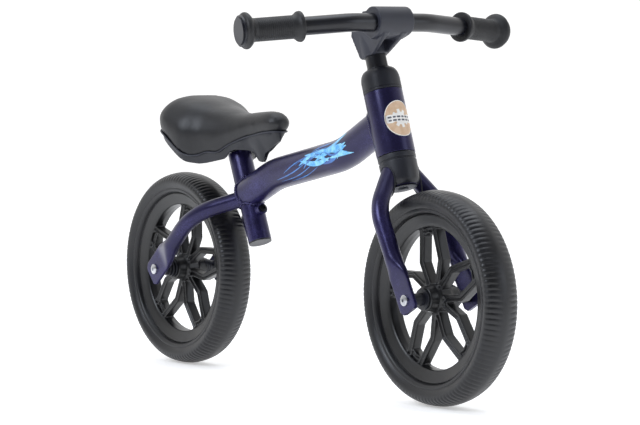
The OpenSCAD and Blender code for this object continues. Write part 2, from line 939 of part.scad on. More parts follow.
module bar_post() {
    color("dimgray")
        at_head()
            difference() {
                ring(post_id / 2, bar_post_d / 2, post_foot_s - post_wedge, stem_post_top);
                wedge_cutter();
            }
}

module expander_wedge() {
    color("silver")
        at_head()
            difference() {
                intersection() {
                    translate([0, 0, post_foot_s - post_wedge - 4])
                        cylinder(d = bar_post_d, h = 2 * post_wedge);
                    translate([0, 0, -seat_gap]) wedge_cutter();
                }
                translate([0, 0, post_foot_s - 30]) cylinder(d = expander_d + 2 * axle_thread_gap, h = 60);
            }
}

module expander_bolt() {
    color("silver")
        at_head()
            translate([0, 0, stem_post_top])
                difference() {
                    union() {
                        cylinder(d = expander_head_d, h = expander_head_h);
                        translate([0, 0, post_foot_s - post_wedge - stem_post_top])
                            cylinder(d = expander_d, h = stem_post_top - post_foot_s + post_wedge + EPS);
                    }
                    translate([0, 0, 3]) cylinder(d = 6.9, h = 5, $fn = 6);
                }
}

// ---- Stem: a moulded body under the bar and a cap over it ----
stem_sleeve_d = 38;
stem_split = 4;
cap_joint_gap = 0.15;
stem_foot_h = 6;

// Side outline of the whole stem in the steering plane
module stem_outline() {
    translate([bar_at[0], bar_at[2]]) circle(d = block_d);
    polygon([
        [-stem_sleeve_d / 2, stem_s + stem_foot_h], [-stem_sleeve_d / 2 + stem_foot_h, stem_s],
        [stem_sleeve_d / 2 - stem_foot_h, stem_s],
        [bar_at[0] + 6, bar_at[2] - block_d / 2 + 1], [bar_at[0], bar_at[2]],
        [bar_at[0] - 7, bar_at[2] + block_d / 2 - 1], [-stem_sleeve_d / 2 + 4, bar_at[2] + 9],
        [-stem_sleeve_d / 2, bar_at[2] + 2]
    ]);
}

module stem_solid() {
    intersection() {
        translate([0, stem_w / 2, 0]) rotate([90, 0, 0]) linear_extrude(stem_w) stem_outline();
        union() {
            translate([0, 0, stem_s - 1]) cylinder(d = stem_w - 4, h = 80);
            translate([0, -stem_w / 2, stem_s - 1]) cube([100, stem_w, 80]);
        }
    }
}

// Everything above the joint between the stem's body and its cap
module stem_cap_space(gap) {
    translate([bar_at[0], 0, bar_at[2] + gap]) rotate([0, -stem_split, 0])
        translate([-100, -50, 0]) cube([200, 100, 60]);
}

module stem_bar_bore() {
    across([bar_at[0], 50, bar_at[2]]) cylinder(d = bar_d, h = 100);
}

stem_screw_d = 4;
screw_spots = [[bar_at[0] - 15, -17], [bar_at[0] - 15, 17]];

module stem_body() {
    color("dimgray")
        at_head()
            difference() {
                stem_solid();
                stem_cap_space(0);
                stem_bar_bore();
                translate([0, 0, stem_s - 1])
                    cylinder(d = bar_post_d + 2 * press_gap, h = stem_post_top - stem_s + 1);
                translate([0, 0, stem_s]) cylinder(d = stem_bore_d, h = 60);
                translate([bar_post_d / 2 + 3, -3, stem_s - 1]) cube([40, 6, 14]);
                for (p = screw_spots)
                    translate([p[0], p[1], stem_s - 1]) {
                        cylinder(d = stem_screw_d + bolt_gap, h = 60);
                        cylinder(d = 8, h = bar_s - stem_s - 8);
                    }
            }
}

module stem_cap() {
    color("dimgray")
        at_head()
            difference() {
                intersection() {
                    stem_solid();
                    stem_cap_space(cap_joint_gap);
                }
                stem_bar_bore();
                translate([0, 0, stem_s])
                    cylinder(d = stem_bore_d, h = stem_post_top + expander_head_h + 1 - stem_s);
                for (p = screw_spots)
                    translate([p[0], p[1], bar_s - 20]) cylinder(d = stem_screw_d, h = 30);
            }
}

module stem_screws() {
    color("silver")
        at_head()
            for (p = screw_spots)
                translate([p[0], p[1], bar_s - 9]) rotate([180, 0, 0])
                    dome_bolt(head_d = 7.4, head_h = 3, shank_d = stem_screw_d, shank_len = 18, socket = 3);
}

// ---- Handlebar: a straight middle and two swept ends ----
bar_end_dir = [-sin(bar_sweep) * cos(bar_drop), -cos(bar_sweep) * cos(bar_drop), -sin(bar_drop)];
bar_corner = [0, -bar_straight, 0];
bar_end = bar_corner + (bar_w / 2 - bar_straight) / cos(bar_sweep) * bar_end_dir;

// Frame of reference at the middle of the handlebar, level with the ground
module at_bar() {
    at_head() translate(bar_at) rotate([0, bar_tilt, 0]) children();
}

// Frame of reference at the right-hand end of the tube, with local z pointing outward
module at_bar_end() {
    at_bar()
        translate(bar_end)
            rotate([0, acos(bar_end_dir[2]), atan2(bar_end_dir[1], bar_end_dir[0])]) children();
}

module bar_run(d, extra) {
    corner = bar_corner;
    end = bar_end + extra * bar_end_dir;
    bent_bar([end, corner, [corner[0], -corner[1], corner[2]], [end[0], -end[1], end[2]]], bar_bend_r, d);
}

module handlebar() {
    color("dimgray")
        at_bar()
            difference() {
                bar_run(bar_d, 0);
                bar_run(bar_d - 2 * bar_wall, 1);
            }
}

module grip_right() {
    color("dimgray")
        at_bar_end()
            difference() {
                union() {
                    translate([0, 0, -grip_len]) cylinder(d = grip_inner_d, h = inner_flange_t);
                    translate([0, 0, -grip_len]) cylinder(d = grip_d, h = grip_len);
                    translate([0, 0, 1 - flange_t]) cylinder(d = grip_flange_d, h = flange_t);
                }
                translate([0, 0, -grip_len - 1]) cylinder(d = bar_d + 2 * grip_wall_gap, h = grip_len + 3);
            }
}

module grip_left() {
    mirror([0, 1, 0]) grip_right();
}

module bar_end_caps() {
    color("dimgray")
        both_sides()
            at_bar_end() {
                translate([0, 0, -12]) cylinder(d = bar_d - 2 * bar_wall - 0.1, h = 14);
                translate([0, 0, 1 + seat_gap]) cylinder(d = grip_inner_d, h = 3);
                translate([0, 0, 1 + seat_gap]) cylinder(d = grip_inner_d - 5, h = 5);
            }
}

// ---- Saddle ----
module saddle_axis_rod(d, from_s, roof) {
    difference() {
        at_seat() translate([0, 0, from_s]) cylinder(d = d, h = seat_up + 60 - from_s);
        at_saddle() translate([-60, -60, roof]) cube([120, 120, 120]);
    }
}

post_roof = pan_top - pan_roof - bracket_t;

module seat_post() {
    color("silver")
        difference() {
            saddle_axis_rod(seat_post_d, post_foot, post_roof);
            saddle_axis_rod(seat_post_d - 4, post_foot - 1, post_roof + 1);
        }
}

saddle_screw_x = 25;
saddle_screw_y = 9;
saddle_screw_d = 5;
saddle_screw_cover = 0.6;

module saddle_screw_spots() {
    for (x = [-1, 1])
        for (y = [-1, 1])
            translate([x * saddle_screw_x - 6, y * saddle_screw_y, 0]) children();
}

module saddle_bracket() {
    color("silver")
        at_saddle()
            difference() {
                translate([-saddle_screw_x - 12, -saddle_screw_y - 7, post_roof])
                    cube([2 * saddle_screw_x + 16, 2 * saddle_screw_y + 14, bracket_t]);
                saddle_screw_spots()
                    translate([0, 0, post_roof - 1])
                        cylinder(d = saddle_screw_d + 2 * bolt_gap, h = bracket_t + 2);
            }
}

module saddle_screws() {
    color("silver")
        at_saddle()
            saddle_screw_spots()
                translate([0, 0, post_roof]) rotate([180, 0, 0])
                    dome_bolt(head_d = 9, head_h = 2.6, shank_d = saddle_screw_d,
                        shank_len = bracket_t + pan_roof - saddle_screw_cover - seat_gap, socket = 3.4);
}

// Points on an arc about centre c, from angle a0 to angle a1
function arc_points(c, r, a0, a1, count) =
    [for (i = [0 : count]) c + r * [cos(a0 + (a1 - a0) * i / count), sin(a0 + (a1 - a0) * i / count)]];

// Left half of the saddle's plan outline, shrunk by inset, from the nose back to the tail
function plan_half(inset) = concat(
    arc_points([saddle_nose - nose_r, 0], nose_r - inset, 0, 84, 7),
    [
        [0.46 * saddle_nose, nose_r + 3 - inset], [0.08 * saddle_nose, 0.49 * saddle_half - inset],
        [0.28 * saddle_rear, 0.72 * saddle_half - inset], [saddle_rear + back_r + 36, saddle_half - inset]
    ],
    arc_points([saddle_rear + back_r, saddle_half - back_r - back_tuck], back_r - inset, 70, 180, 11)
);

module saddle_plan(inset) {
    half = plan_half(inset);
    polygon(concat(half, [for (i = [len(half) - 1 : -1 : 1]) [half[i][0], -half[i][1]]]));
}

// Side outlines: where cover meets pan, the underside of the pan and the top of the cover
seam = [
    [saddle_rear - 5, 34], [saddle_rear + 14, 30], [saddle_rear + 72, 0], [saddle_rear + 92, -3],
    [4, 7], [0.6 * saddle_nose, 21], [saddle_nose + 5, 29]
];
pan_line = [
    [saddle_nose + 5, 24], [0.72 * saddle_nose, 3], [0.56 * saddle_nose, -9], [26, -8], [18, -6],
    [-16, -7], [saddle_rear + 82, -13], [saddle_rear + 66, -11], [saddle_rear + 12, 20], [saddle_rear - 5, 25]
];
top_line = [
    [saddle_nose + 5, 30], [saddle_nose - 6, 44], [saddle_nose - 22, 52], [0.45 * saddle_nose, 52],
    [0.05 * saddle_nose, 51], [0.3 * saddle_rear, 58], [0.6 * saddle_rear, 70], [0.8 * saddle_rear, 71],
    [saddle_rear + 9, 60], [saddle_rear - 5, 42]
];

module side_cut(points) {
    translate([0, 120, 0]) rotate([90, 0, 0]) linear_extrude(240) polygon(points);
}

// Prism over the saddle's plan, from far below up to height z
module plan_block(inset, z) {
    translate([0, 0, -80]) linear_extrude(80 + z) saddle_plan(inset);
}

module saddle_cover() {
    color("dimgray")
        at_saddle()
            difference() {
                intersection() {
                    plan_block(0, 100);
                    side_cut(concat(seam, top_line));
                }
                plan_block(cover_t, pan_top + seat_gap);
            }
}

module saddle_pan() {
    color("dimgray")
        difference() {
            at_saddle() {
                intersection() {
                    plan_block(cover_t + seat_gap, pan_top);
                    side_cut(concat(pan_line, [[saddle_rear - 5, 120], [saddle_nose + 5, 120]]));
                }
                intersection() {
                    plan_block(1, 100);
                    side_cut(concat(pan_line, [for (p = seam) p - [0, seat_gap]]));
                }
            }
            at_saddle() plan_block(cover_t + pan_wall, pan_top - pan_roof);
            saddle_axis_rod(seat_tube_d + 3, -20, pan_top - pan_roof);
            at_saddle()
                saddle_screw_spots()
                    cylinder(d = saddle_screw_d + 2 * bolt_gap, h = pan_top - saddle_screw_cover);
        }
}

head_tube();
main_tube();
seat_tube();
seat_tube_plug();
seat_lock_boss();
seat_lock_bolt();
stay_right();
stay_left();
upper_cup();
lower_cup();
upper_balls();
lower_balls();
rear_axle();
rear_axle_bolts();
rear_spacers();
rear_hub_sleeve();
rear_bearing_inners();
steerer_tube();
fork_crown();
crown_cover();
crown_plate();
crown_bolt();
fork_leg_right();
fork_leg_left();
lower_cone();
upper_cone();
lock_nut();
dome_cap();
front_axle();
front_axle_bolts();
front_spacers();
front_hub_sleeve();
front_bearing_inners();
bar_post();
expander_wedge();
expander_bolt();
stem_body();
stem_cap();
stem_screws();
handlebar();
grip_right();
grip_left();
bar_end_caps();
front_wheel();
front_tyre();
front_bearing_outers();
front_bearing_balls();
rear_wheel();
rear_tyre();
rear_bearing_outers();
rear_bearing_balls();
seat_post();
saddle_bracket();
saddle_screws();
saddle_pan();
saddle_cover();
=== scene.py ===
"""The looks of a child's balance bike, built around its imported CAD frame.

Lengths inside the classes are in millimetres and are turned to metres when a mesh is made.
+X is forward, +Y is the rider's left and +Z is up, as in the frame.
"""

import json
import logging
import math
from collections.abc import Callable, Sequence
from dataclasses import dataclass, field
from enum import Enum

import bmesh
import bpy
import numpy as np
from bpy.types import Material, Node, NodeSocket, NodeTree, Object
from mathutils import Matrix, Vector


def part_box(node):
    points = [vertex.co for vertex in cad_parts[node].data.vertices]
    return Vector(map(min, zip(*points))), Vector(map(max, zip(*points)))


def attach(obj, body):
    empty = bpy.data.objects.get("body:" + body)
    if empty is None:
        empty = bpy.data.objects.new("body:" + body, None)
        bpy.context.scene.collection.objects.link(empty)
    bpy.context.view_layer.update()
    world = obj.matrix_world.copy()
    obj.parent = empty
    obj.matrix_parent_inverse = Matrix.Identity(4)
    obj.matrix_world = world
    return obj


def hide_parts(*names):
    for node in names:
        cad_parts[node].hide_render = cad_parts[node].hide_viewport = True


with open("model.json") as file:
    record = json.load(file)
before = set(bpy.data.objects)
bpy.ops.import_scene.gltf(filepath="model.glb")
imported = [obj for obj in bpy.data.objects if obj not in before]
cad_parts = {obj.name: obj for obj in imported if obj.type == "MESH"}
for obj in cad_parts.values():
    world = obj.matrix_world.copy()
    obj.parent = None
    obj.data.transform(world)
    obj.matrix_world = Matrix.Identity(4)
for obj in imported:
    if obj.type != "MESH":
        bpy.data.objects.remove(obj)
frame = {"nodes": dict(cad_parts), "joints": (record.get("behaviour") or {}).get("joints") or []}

LOG = logging.getLogger("balance_bike")
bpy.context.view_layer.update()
MM = 0.001
LEFT = np.array([0.0, 1.0, 0.0])
UP = np.array([0.0, 0.0, 1.0])
Points = np.ndarray
Faces = list[list[int]]
Solid = tuple[Points, Faces]


class Body(str, Enum):
    """The moving bodies of the bike."""

    FRAME = "frame"
    FORK = "fork"
    BAR = "handlebar"
    FRONT_WHEEL = "front_wheel"
    REAR_WHEEL = "rear_wheel"
    SADDLE = "saddle"


class Side(Enum):
    """The rider's two sides, as the sign of Y."""

    RIGHT = -1
    LEFT = 1

    @property
    def word(self) -> str:
        """The side's name in small letters."""
        return self.name.lower()


# ---- Finishes ----


def linear(code: str) -> tuple[float, float, float, float]:
    """Turns an sRGB hex colour to linear light.

    Args:
        code: Six hex digits, with or without a leading hash.

    Returns:
        Red, green and blue in linear light, and an alpha of 1.
    """
    code = code.lstrip("#")
    parts = [int(code[i : i + 2], 16) / 255 for i in (0, 2, 4)]
    light = [p / 12.92 if p <= 0.04045 else ((p + 0.055) / 1.055) ** 2.4 for p in parts]
    return (*light, 1.0)


def add_node(tree: NodeTree, kind: str, settings: dict | None = None,
    links: dict | None = None) -> Node:
    """Adds one node, gives it its settings and links its inputs.

    Args:
        tree: The node tree that gets it.
        kind: Blender's name for the kind of node.
        settings: Values by name, each an input of the node or else a property of it.
        links: Output sockets by the name or number of the input they go to.

    Returns:
        The new node.
    """
    made = tree.nodes.new(kind)
    for name, value in (settings or {}).items():
        if isinstance(name, int) or name in made.inputs:
            made.inputs[name].default_value = value
        else:
            setattr(made, name, value)
    for name, socket in (links or {}).items():
        tree.links.new(socket, made.inputs[name])
    return made


@dataclass(frozen=True)
class Finish:
    """A surface finish: a slot name, which is not used, the shader's values, and a pattern that a subclass
    adds.
    """

    name: str
    slot: str
    colour: str
    metallic: float = 0.0
    roughness: float = 0.5
    ior: float = 1.45
    coat: float = 0.0
    coat_roughness: float = 0.1
    glow: float = 0.0

    def build(self) -> Material:
        """Makes the material with its nodes."""
        made = bpy.data.materials.new(self.name)
        made.use_nodes = True
        made.diffuse_color = linear(self.colour)
        tree = made.node_tree
        shader = tree.nodes["Principled BSDF"]
        values = {
            "Base Color": linear(self.colour),
            "Metallic": self.metallic,
            "Roughness": self.roughness,
            "Coat Weight": self.coat,
            "Coat Roughness": self.coat_roughness,
            "Emission Color": linear(self.colour),
            "Emission Strength": self.glow,
        }
        if self.metallic < 1:
            values["IOR"] = self.ior
        for name, value in values.items():
            shader.inputs[name].default_value = value
        place = add_node(tree, "ShaderNodeTexCoord").outputs["Object"]
        self.pattern(tree, shader, place)
        return made

    def pattern(self, tree: NodeTree, shader: Node, place: NodeSocket) -> None:
        """Adds nothing: a subclass gives its finish a pattern here."""

    @staticmethod
    def noise(tree: NodeTree, place: NodeSocket, size_mm: float, detail: float = 3.0) -> NodeSocket:
        """Gives a cloudy pattern with blotches of a real size.

        Args:
            tree: The material's node tree.
            place: Coordinates in metres.
            size_mm: Rough size of one blotch.
            detail: Number of finer layers in it.

        Returns:
            The pattern's strength, about 0.5 on average.
        """
        size = {"Scale": 1 / (size_mm * MM), "Detail": detail}
        return add_node(tree, "ShaderNodeTexNoise", size, {"Vector": place}).outputs["Fac"]

    @staticmethod
    def relief(tree: NodeTree, shader: Node, height: NodeSocket, depth_mm: float,
        strength: float = 1.0) -> None:
        """Turns a pattern into relief of a real depth on the shader."""
        made = add_node(tree, "ShaderNodeBump", {"Strength": strength, "Distance": depth_mm * MM},
            {"Height": height})
        tree.links.new(made.outputs["Normal"], shader.inputs["Normal"])

    def spread(self, tree: NodeTree, shader: Node, fac: NodeSocket, less: float,
        more: float) -> None:
        """Varies the roughness by a pattern, from less below the finish's own to more above it."""
        reach = {"From Min": 0.3, "From Max": 0.7, "To Min": self.roughness - less,
            "To Max": self.roughness + more}
        made = add_node(tree, "ShaderNodeMapRange", reach, {"Value": fac})
        tree.links.new(made.outputs["Result"], shader.inputs["Roughness"])

    @staticmethod
    def tint(tree: NodeTree, shader: Node, fac: NodeSocket, *stops: tuple[float, str]) -> None:
        """Colours the shader by a pattern, through a ramp of hex stops."""
        ramp = add_node(tree, "ShaderNodeValToRGB", links={"Fac": fac})
        while len(ramp.color_ramp.elements) < len(stops):
            ramp.color_ramp.elements.new(0.5)
        for element, (at, code) in zip(ramp.color_ramp.elements, stops):
            element.position = at
            element.color = linear(code)
        tree.links.new(ramp.outputs["Color"], shader.inputs["Base Color"])


@dataclass(frozen=True)
class FlakePaint(Finish):
    """Metallic paint: aluminium flake in a violet-blue base, sprayed, under a satin clear coat."""

    flake_mm: float = 1.3
    dark: str = "#1b183c"
    light: str = "#383468"

    def pattern(self, tree: NodeTree, shader: Node, place: NodeSocket) -> None:
        """Lets the flake sparkle a little and the spray drift between violet and blue."""
        # Real flake is 0.05 mm; it is drawn as 1.3 mm clusters so that the sparkle shows
        flake = add_node(tree, "ShaderNodeTexVoronoi", {"Scale": 1 / (self.flake_mm * MM)},
            {"Vector": place})
        cells = add_node(tree, "ShaderNodeSeparateColor",
            links={"Color": flake.outputs["Color"]}).outputs["Red"]
        drift = self.noise(tree, place, 60, 2)
        mix = add_node(
            tree, "ShaderNodeMath", {"operation": "MULTIPLY_ADD", 1: 0.22}, {0: cells, 2: drift}
        )
        self.tint(
            tree, shader, mix.outputs[0], (0.3, self.dark), (0.62, self.colour), (0.95, self.light)
        )
        self.spread(tree, shader, cells, 0.03, 0.04)
        # Sprayed coats dry with a faint orange peel, about 2 mm from crest to crest
        self.relief(tree, shader, self.noise(tree, place, 2.2, 1), 0.012)


@dataclass(frozen=True)
class MouldedPlastic(Finish):
    """Injection-moulded plastic from a spark-eroded mould: fine even grain and a soft gloss."""

    grain_mm: float = 0.9
    grain_depth: float = 0.05
    scuffed: str = "#26272c"

    def pattern(self, tree: NodeTree, shader: Node, place: NodeSocket) -> None:
        """Adds mould grain, a slight flow shade and greyer handled spots."""
        # Spark-eroded grain is 0.3 mm; it is drawn at 0.9 mm so that it shows
        grain = self.noise(tree, place, self.grain_mm, 2)
        self.relief(tree, shader, grain, self.grain_depth)
        handled = self.noise(tree, place, 35, 4)
        self.tint(tree, shader, handled, (0.35, self.colour), (0.8, self.scuffed))
        self.spread(tree, shader, handled, 0.05, 0.06)


@dataclass(frozen=True)
class TyreFoam(Finish):
    """EVA foam rubber, moulded: closed skin, dull and slightly blue, with dust in its pores."""

    dusty: str = "#2c2e34"

    def pattern(self, tree: NodeTree, shader: Node, place: NodeSocket) -> None:
        """Adds the pebbled skin and a dusty bloom."""
        pores = add_node(tree, "ShaderNodeTexVoronoi", {"Scale": 1 / (1.1 * MM)}, {"Vector": place})
        self.relief(tree, shader, pores.outputs["Distance"], 0.07)
        bloom = self.noise(tree, place, 22, 5)
        self.tint(tree, shader, bloom, (0.3, self.colour), (0.85, self.dusty))
        self.spread(tree, shader, bloom, 0.06, 0.06)


@dataclass(frozen=True)
class GrainedVinyl(Finish):
    """PVC leathercloth, embossed: irregular pebbles about 1.5 mm across with darker creases."""

    pebble_mm: float = 1.5
    worn: str = "#25262a"

    def pattern(self, tree: NodeTree, shader: Node, place: NodeSocket) -> None:
        """Adds the embossed pebbles, shallow stretch marks and a worn shine."""
        warp = self.noise(tree, place, 6, 2)
        kind = {"feature": "DISTANCE_TO_EDGE", "Scale": 1 / (self.pebble_mm * MM)}
        cells = add_node(tree, "ShaderNodeTexVoronoi", kind, {"Vector": place}).outputs["Distance"]
        height = add_node(
            tree, "ShaderNodeMath", {"operation": "MULTIPLY_ADD", 1: 1.6}, {0: cells, 2: warp}
        )
        self.relief(tree, shader, height.outputs[0], 0.09)
        wear = self.noise(tree, place, 45, 3)
        self.tint(tree, shader, wear, (0.3, self.colour), (0.8, self.worn))
        self.spread(tree, shader, wear, 0.05, 0.05)


@dataclass(frozen=True)
class PowderCoat(Finish):
    """Polyester powder baked on steel: satin, with a low orange peel."""

    edge: str = "#242636"

    def pattern(self, tree: NodeTree, shader: Node, place: NodeSocket) -> None:
        """Adds the peel and a slight change of depth in the colour."""
        peel = self.noise(tree, place, 1.8, 1)
        self.relief(tree, shader, peel, 0.02)
        depth = self.noise(tree, place, 40, 2)
        self.tint(tree, shader, depth, (0.3, self.colour), (0.9, self.edge))


@dataclass(frozen=True)
class BareMetal(Finish):
    """Steel as turned, stamped or plated: bright, with fine tool marks and faint blotches."""

    mark_mm: float = 0.8
    dull: str = "#9a9ba0"

    def pattern(self, tree: NodeTree, shader: Node, place: NodeSocket) -> None:
        """Adds tool marks and a patchy lustre."""
        stretched = add_node(tree, "ShaderNodeMapping", {"Scale": (1.0, 6.0, 1.0)},
            {"Vector": place}).outputs[0]
        marks = self.noise(tree, stretched, self.mark_mm * 4, 3)
        self.relief(tree, shader, marks, 0.01)
        patches = self.noise(tree, place, 9, 3)
        self.tint(tree, shader, patches, (0.3, self.dull), (0.7, self.colour))
        self.spread(tree, shader, marks, 0.05, 0.08)


@dataclass(frozen=True)
class PrintedVinyl(Finish):
    """Printed self-adhesive vinyl under a gloss film, with a soft shift between two inks."""

    second: str = "#ffffff"
    drift_mm: float = 9.0

    def pattern(self, tree: NodeTree, shader: Node, place: NodeSocket) -> None:
        """Lets the ink drift from one colour to the other."""
        drift = self.noise(tree, place, self.drift_mm, 3)
        self.tint(tree, shader, drift, (0.36, self.colour), (0.64, self.second))


@dataclass(frozen=True)
class PaperSweep(Finish):
    """Frosted acrylic sheet of the studio table, lit evenly from below."""

    def pattern(self, tree: NodeTree, shader: Node, place: NodeSocket) -> None:
        """Adds the sheet's faint frosting."""
        self.relief(tree, shader, self.noise(tree, place, 4, 2), 0.05, 0.3)


# Metallic violet-blue car-type paint: dark face-on, with satin violet highlights
VIOLET_PAINT = FlakePaint(
    "satin_violet_flake_paint", "frame_paint", "#1d1942", 0.6, 0.31, 1.5, coat=0.2,
    coat_roughness=0.22
)
# Polypropylene covers: blue-black, fine grain, soft gloss
BLACK_COVER = MouldedPlastic(
    "moulded_polypropylene", "black_plastic", "#15171f", 0.0, 0.4, 1.49, scuffed="#1e2029"
)
# Glass-filled nylon wheel mouldings: nearly black with a slightly shinier skin
WHEEL_NYLON = MouldedPlastic(
    "moulded_glass_filled_nylon", "wheel_plastic", "#08080a", 0.0, 0.34, 1.53, scuffed="#101115"
)
# Stem shell: a greyer, more matt moulding than the covers; on the saddle welt this grey is a painted
# highlight
STEM_NYLON = MouldedPlastic(
    "moulded_matt_nylon", "black_plastic", "#23252f", 0.0, 0.48, 1.53, scuffed="#2c2e39"
)
# Foam tyres: dull blue-black with a broad soft highlight
FOAM = TyreFoam("moulded_eva_foam", "tyre_foam", "#0a0a0e", 0.0, 0.38, 1.5, dusty="#13141a")
# Thermoplastic rubber grips: matt black
GRIP_RUBBER = MouldedPlastic(
    "moulded_soft_rubber", "grip_rubber", "#0c0c0f", 0.0, 0.5, 1.52, grain_mm=1.2,
    grain_depth=0.09, scuffed="#15161a"
)
# Leathercloth saddle: matt pebbled black with a wide grey sheen
VINYL = GrainedVinyl(
    "embossed_pvc_leathercloth", "saddle_vinyl", "#0d0d11", 0.0, 0.4, 1.5, worn="#17181c"
)
# Powder-coated steel bar and post: dark slate
BAR_POWDER = PowderCoat(
    "baked_polyester_powder", "black_paint", "#090a11", 0.1, 0.3, 1.5, coat=0.12,
    coat_roughness=0.25, edge="#11131e"
)
# Black oxide on the saddle lock bolt: dark steel with a faint gloss
BLACK_OXIDE = PowderCoat("black_oxide_on_steel", "zinc_bolt", "#101116", 0.8, 0.4, edge="#1c1d24")
# Bright zinc on bolt heads and the crown washer: silver with soft reflections
ZINC = BareMetal("bright_zinc_plate", "zinc_bolt", "#d4d5d8", 1.0, 0.24)
# Turned and drawn steel of the inner parts: greyer and duller
TURNED_STEEL = BareMetal("turned_steel", "bare_steel", "#a9abb0", 1.0, 0.34, dull="#84868c")
# Zinc plate gone dull: a grey rim with hardly a highlight
DULL_STEEL = BareMetal("dulled_zinc_plate", "bare_steel", "#4c4e55", 1.0, 0.5, dull="#3a3c42")
# Ground bearing steel: darker and brighter at once
BEARING_STEEL = BareMetal(
    "ground_bearing_steel", "bearing_steel", "#c3c5ca", 1.0, 0.16, mark_mm=0.5
)
# Round badge: matt sand ink with a white band, both plain
SAND_INK = PrintedVinyl(
    "sand_ink_on_vinyl", "frame_paint", "#cfae8e", 0.0, 0.42, 1.5, second="#dcc0a4"
)
WHITE_INK = PrintedVinyl(
    "white_ink_on_vinyl", "frame_paint", "#eceae6", 0.0, 0.4, 1.5, second="#f4f2ee"
)
GREY_INK = PrintedVinyl(
    "grey_ink_on_vinyl", "frame_paint", "#55565e", 0.0, 0.42, 1.5, second="#6a6b74"
)
# Abstract strokes on the main tube: light blue inks that run into each other
SKY_INK = PrintedVinyl(
    "sky_blue_ink_on_vinyl", "frame_paint", "#3fa0e6", 0.0, 0.34, 1.5, coat=0.3, second="#8fd6f7",
    drift_mm=7
)
DEEP_INK = PrintedVinyl(
    "deep_blue_ink_on_vinyl", "frame_paint", "#27569f", 0.0, 0.34, 1.5, coat=0.3, second="#3a7fcb",
    drift_mm=11
)


class Workshop:
    """Keeps one material per finish and fixes finished pieces to the frame."""

    def __init__(self) -> None:
        """Starts with no materials made."""
        self.made: dict[str, Material] = {}

    def material(self, finish: Finish) -> Material:
        """Gives the finish's material, made the first time that it is asked for."""
        if finish.name not in self.made:
            self.made[finish.name] = finish.build()
        return self.made[finish.name]

    def dress(self, piece: Object, finish: Finish, body: Body,
        replaces: Sequence[str] = ()) -> Object:
        """Gives a piece its finish with its material slot, and its body.

        Args:
            piece: The mesh object.
            finish: Its finish.
            body: The moving body that it rides on.
            replaces: CAD nodes that it stands for.

        Returns:
            The same piece.
        """
        piece.data.materials.clear()
        piece.data.materials.append(self.material(finish))
        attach(piece, body.value)
        if replaces:
            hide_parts(*replaces)
        LOG.info("%s: %d faces, %s, on %s", piece.name, len(piece.data.polygons),
            finish.name, body.value)
        return piece

    def dress_nodes(self, finish: Finish, *nodes: str) -> None:
        """Gives CAD nodes that keep their shape a finish."""
        for name in nodes:
            data = frame["nodes"][name].data
            data.materials.clear()
            data.materials.append(self.material(finish))
            LOG.info("%s: CAD shape, %s", name, finish.name)


# ---- Mesh making ----


def mesh_object(name: str, points: Points, faces: Sequence[Sequence[int]],
    crease: float = 38.0) -> Object:
    """Makes a smooth-shaded mesh object.

    Args:
        name: The piece's name.
        points: Corner points in millimetres.
        faces: Corner numbers of each face.
        crease: Edges that turn by more degrees than this are shaded sharp.

    Returns:
        The new object, linked to the scene.
    """
    data = bpy.data.meshes.new(name)
    data.from_pydata((np.asarray(points, float) * MM).tolist(), [], [list(f) for f in faces])
    bm = bmesh.new()
    bm.from_mesh(data)
    bmesh.ops.recalc_face_normals(bm, faces=bm.faces)
    bm.to_mesh(data)
    bm.free()
    made = bpy.data.objects.new(name, data)
    bpy.context.scene.collection.objects.link(made)
    shade(made, crease)
    return made


def shade(piece: Object, crease: float = 38.0) -> None:
    """Shades a mesh smooth, with its strong edges sharp."""
    piece.data.polygons.foreach_set("use_smooth", [True] * len(piece.data.polygons))
    piece.data.set_sharp_from_angle(angle=math.radians(crease))
    piece.data.update()


def skin_faces(count: int, around: int, loop: bool = False, caps: bool = True) -> Faces:
    """Gives the faces of a skin over rings of points.

    Args:
        count: Number of rings.
        around: Points in each ring.
        loop: Whether the last ring joins the first.
        caps: Whether the ends are closed.

    Returns:
        Corner numbers of each face.
    """
    faces = []
    for i in range(count if loop else count - 1):
        a, b = i * around, (i + 1) % count * around
        faces += [[a + j, a + (j + 1) % around, b + (j + 1) % around, b + j] for j in range(around)]
    if caps and not loop:
        faces += [list(range(around))[::-1], list(range((count - 1) * around, count * around))]
    return faces


def skin(name: str, rings: Points, loop: bool = False, caps: bool = True,
    crease: float = 38.0) -> Object:
    """Makes a skin over rings of points, given as an array of (ring, point, 3) in millimetres."""
    count, around = rings.shape[:2]
    return mesh_object(name, rings.reshape(-1, 3), skin_faces(count, around, loop=loop, caps=caps),
        crease)


def unit(v: Points) -> Points:
    """Scales vectors along the last axis to length 1."""
    return v / np.maximum(np.linalg.norm(v, axis=-1, keepdims=True), 1e-12)


def smooth_step(x: Points | float) -> Points | float:
    """Goes gently from 0 to 1 as x does, and stays there."""
    x = np.clip(x, 0, 1)
    return x * x * (3 - 2 * x)


def oval(half_wide: float, half_thick: float, power: float = 2.0, around: int = 48) -> Points:
    """Gives a rounded outline between an ellipse, at power 2, and a rectangle, at a high power."""
    a = np.linspace(0, 2 * np.pi, around, endpoint=False)
    way = np.stack([np.cos(a), np.sin(a)], 1)
    return [half_wide, half_thick] * np.sign(way) * np.abs(way) ** (2 / power)


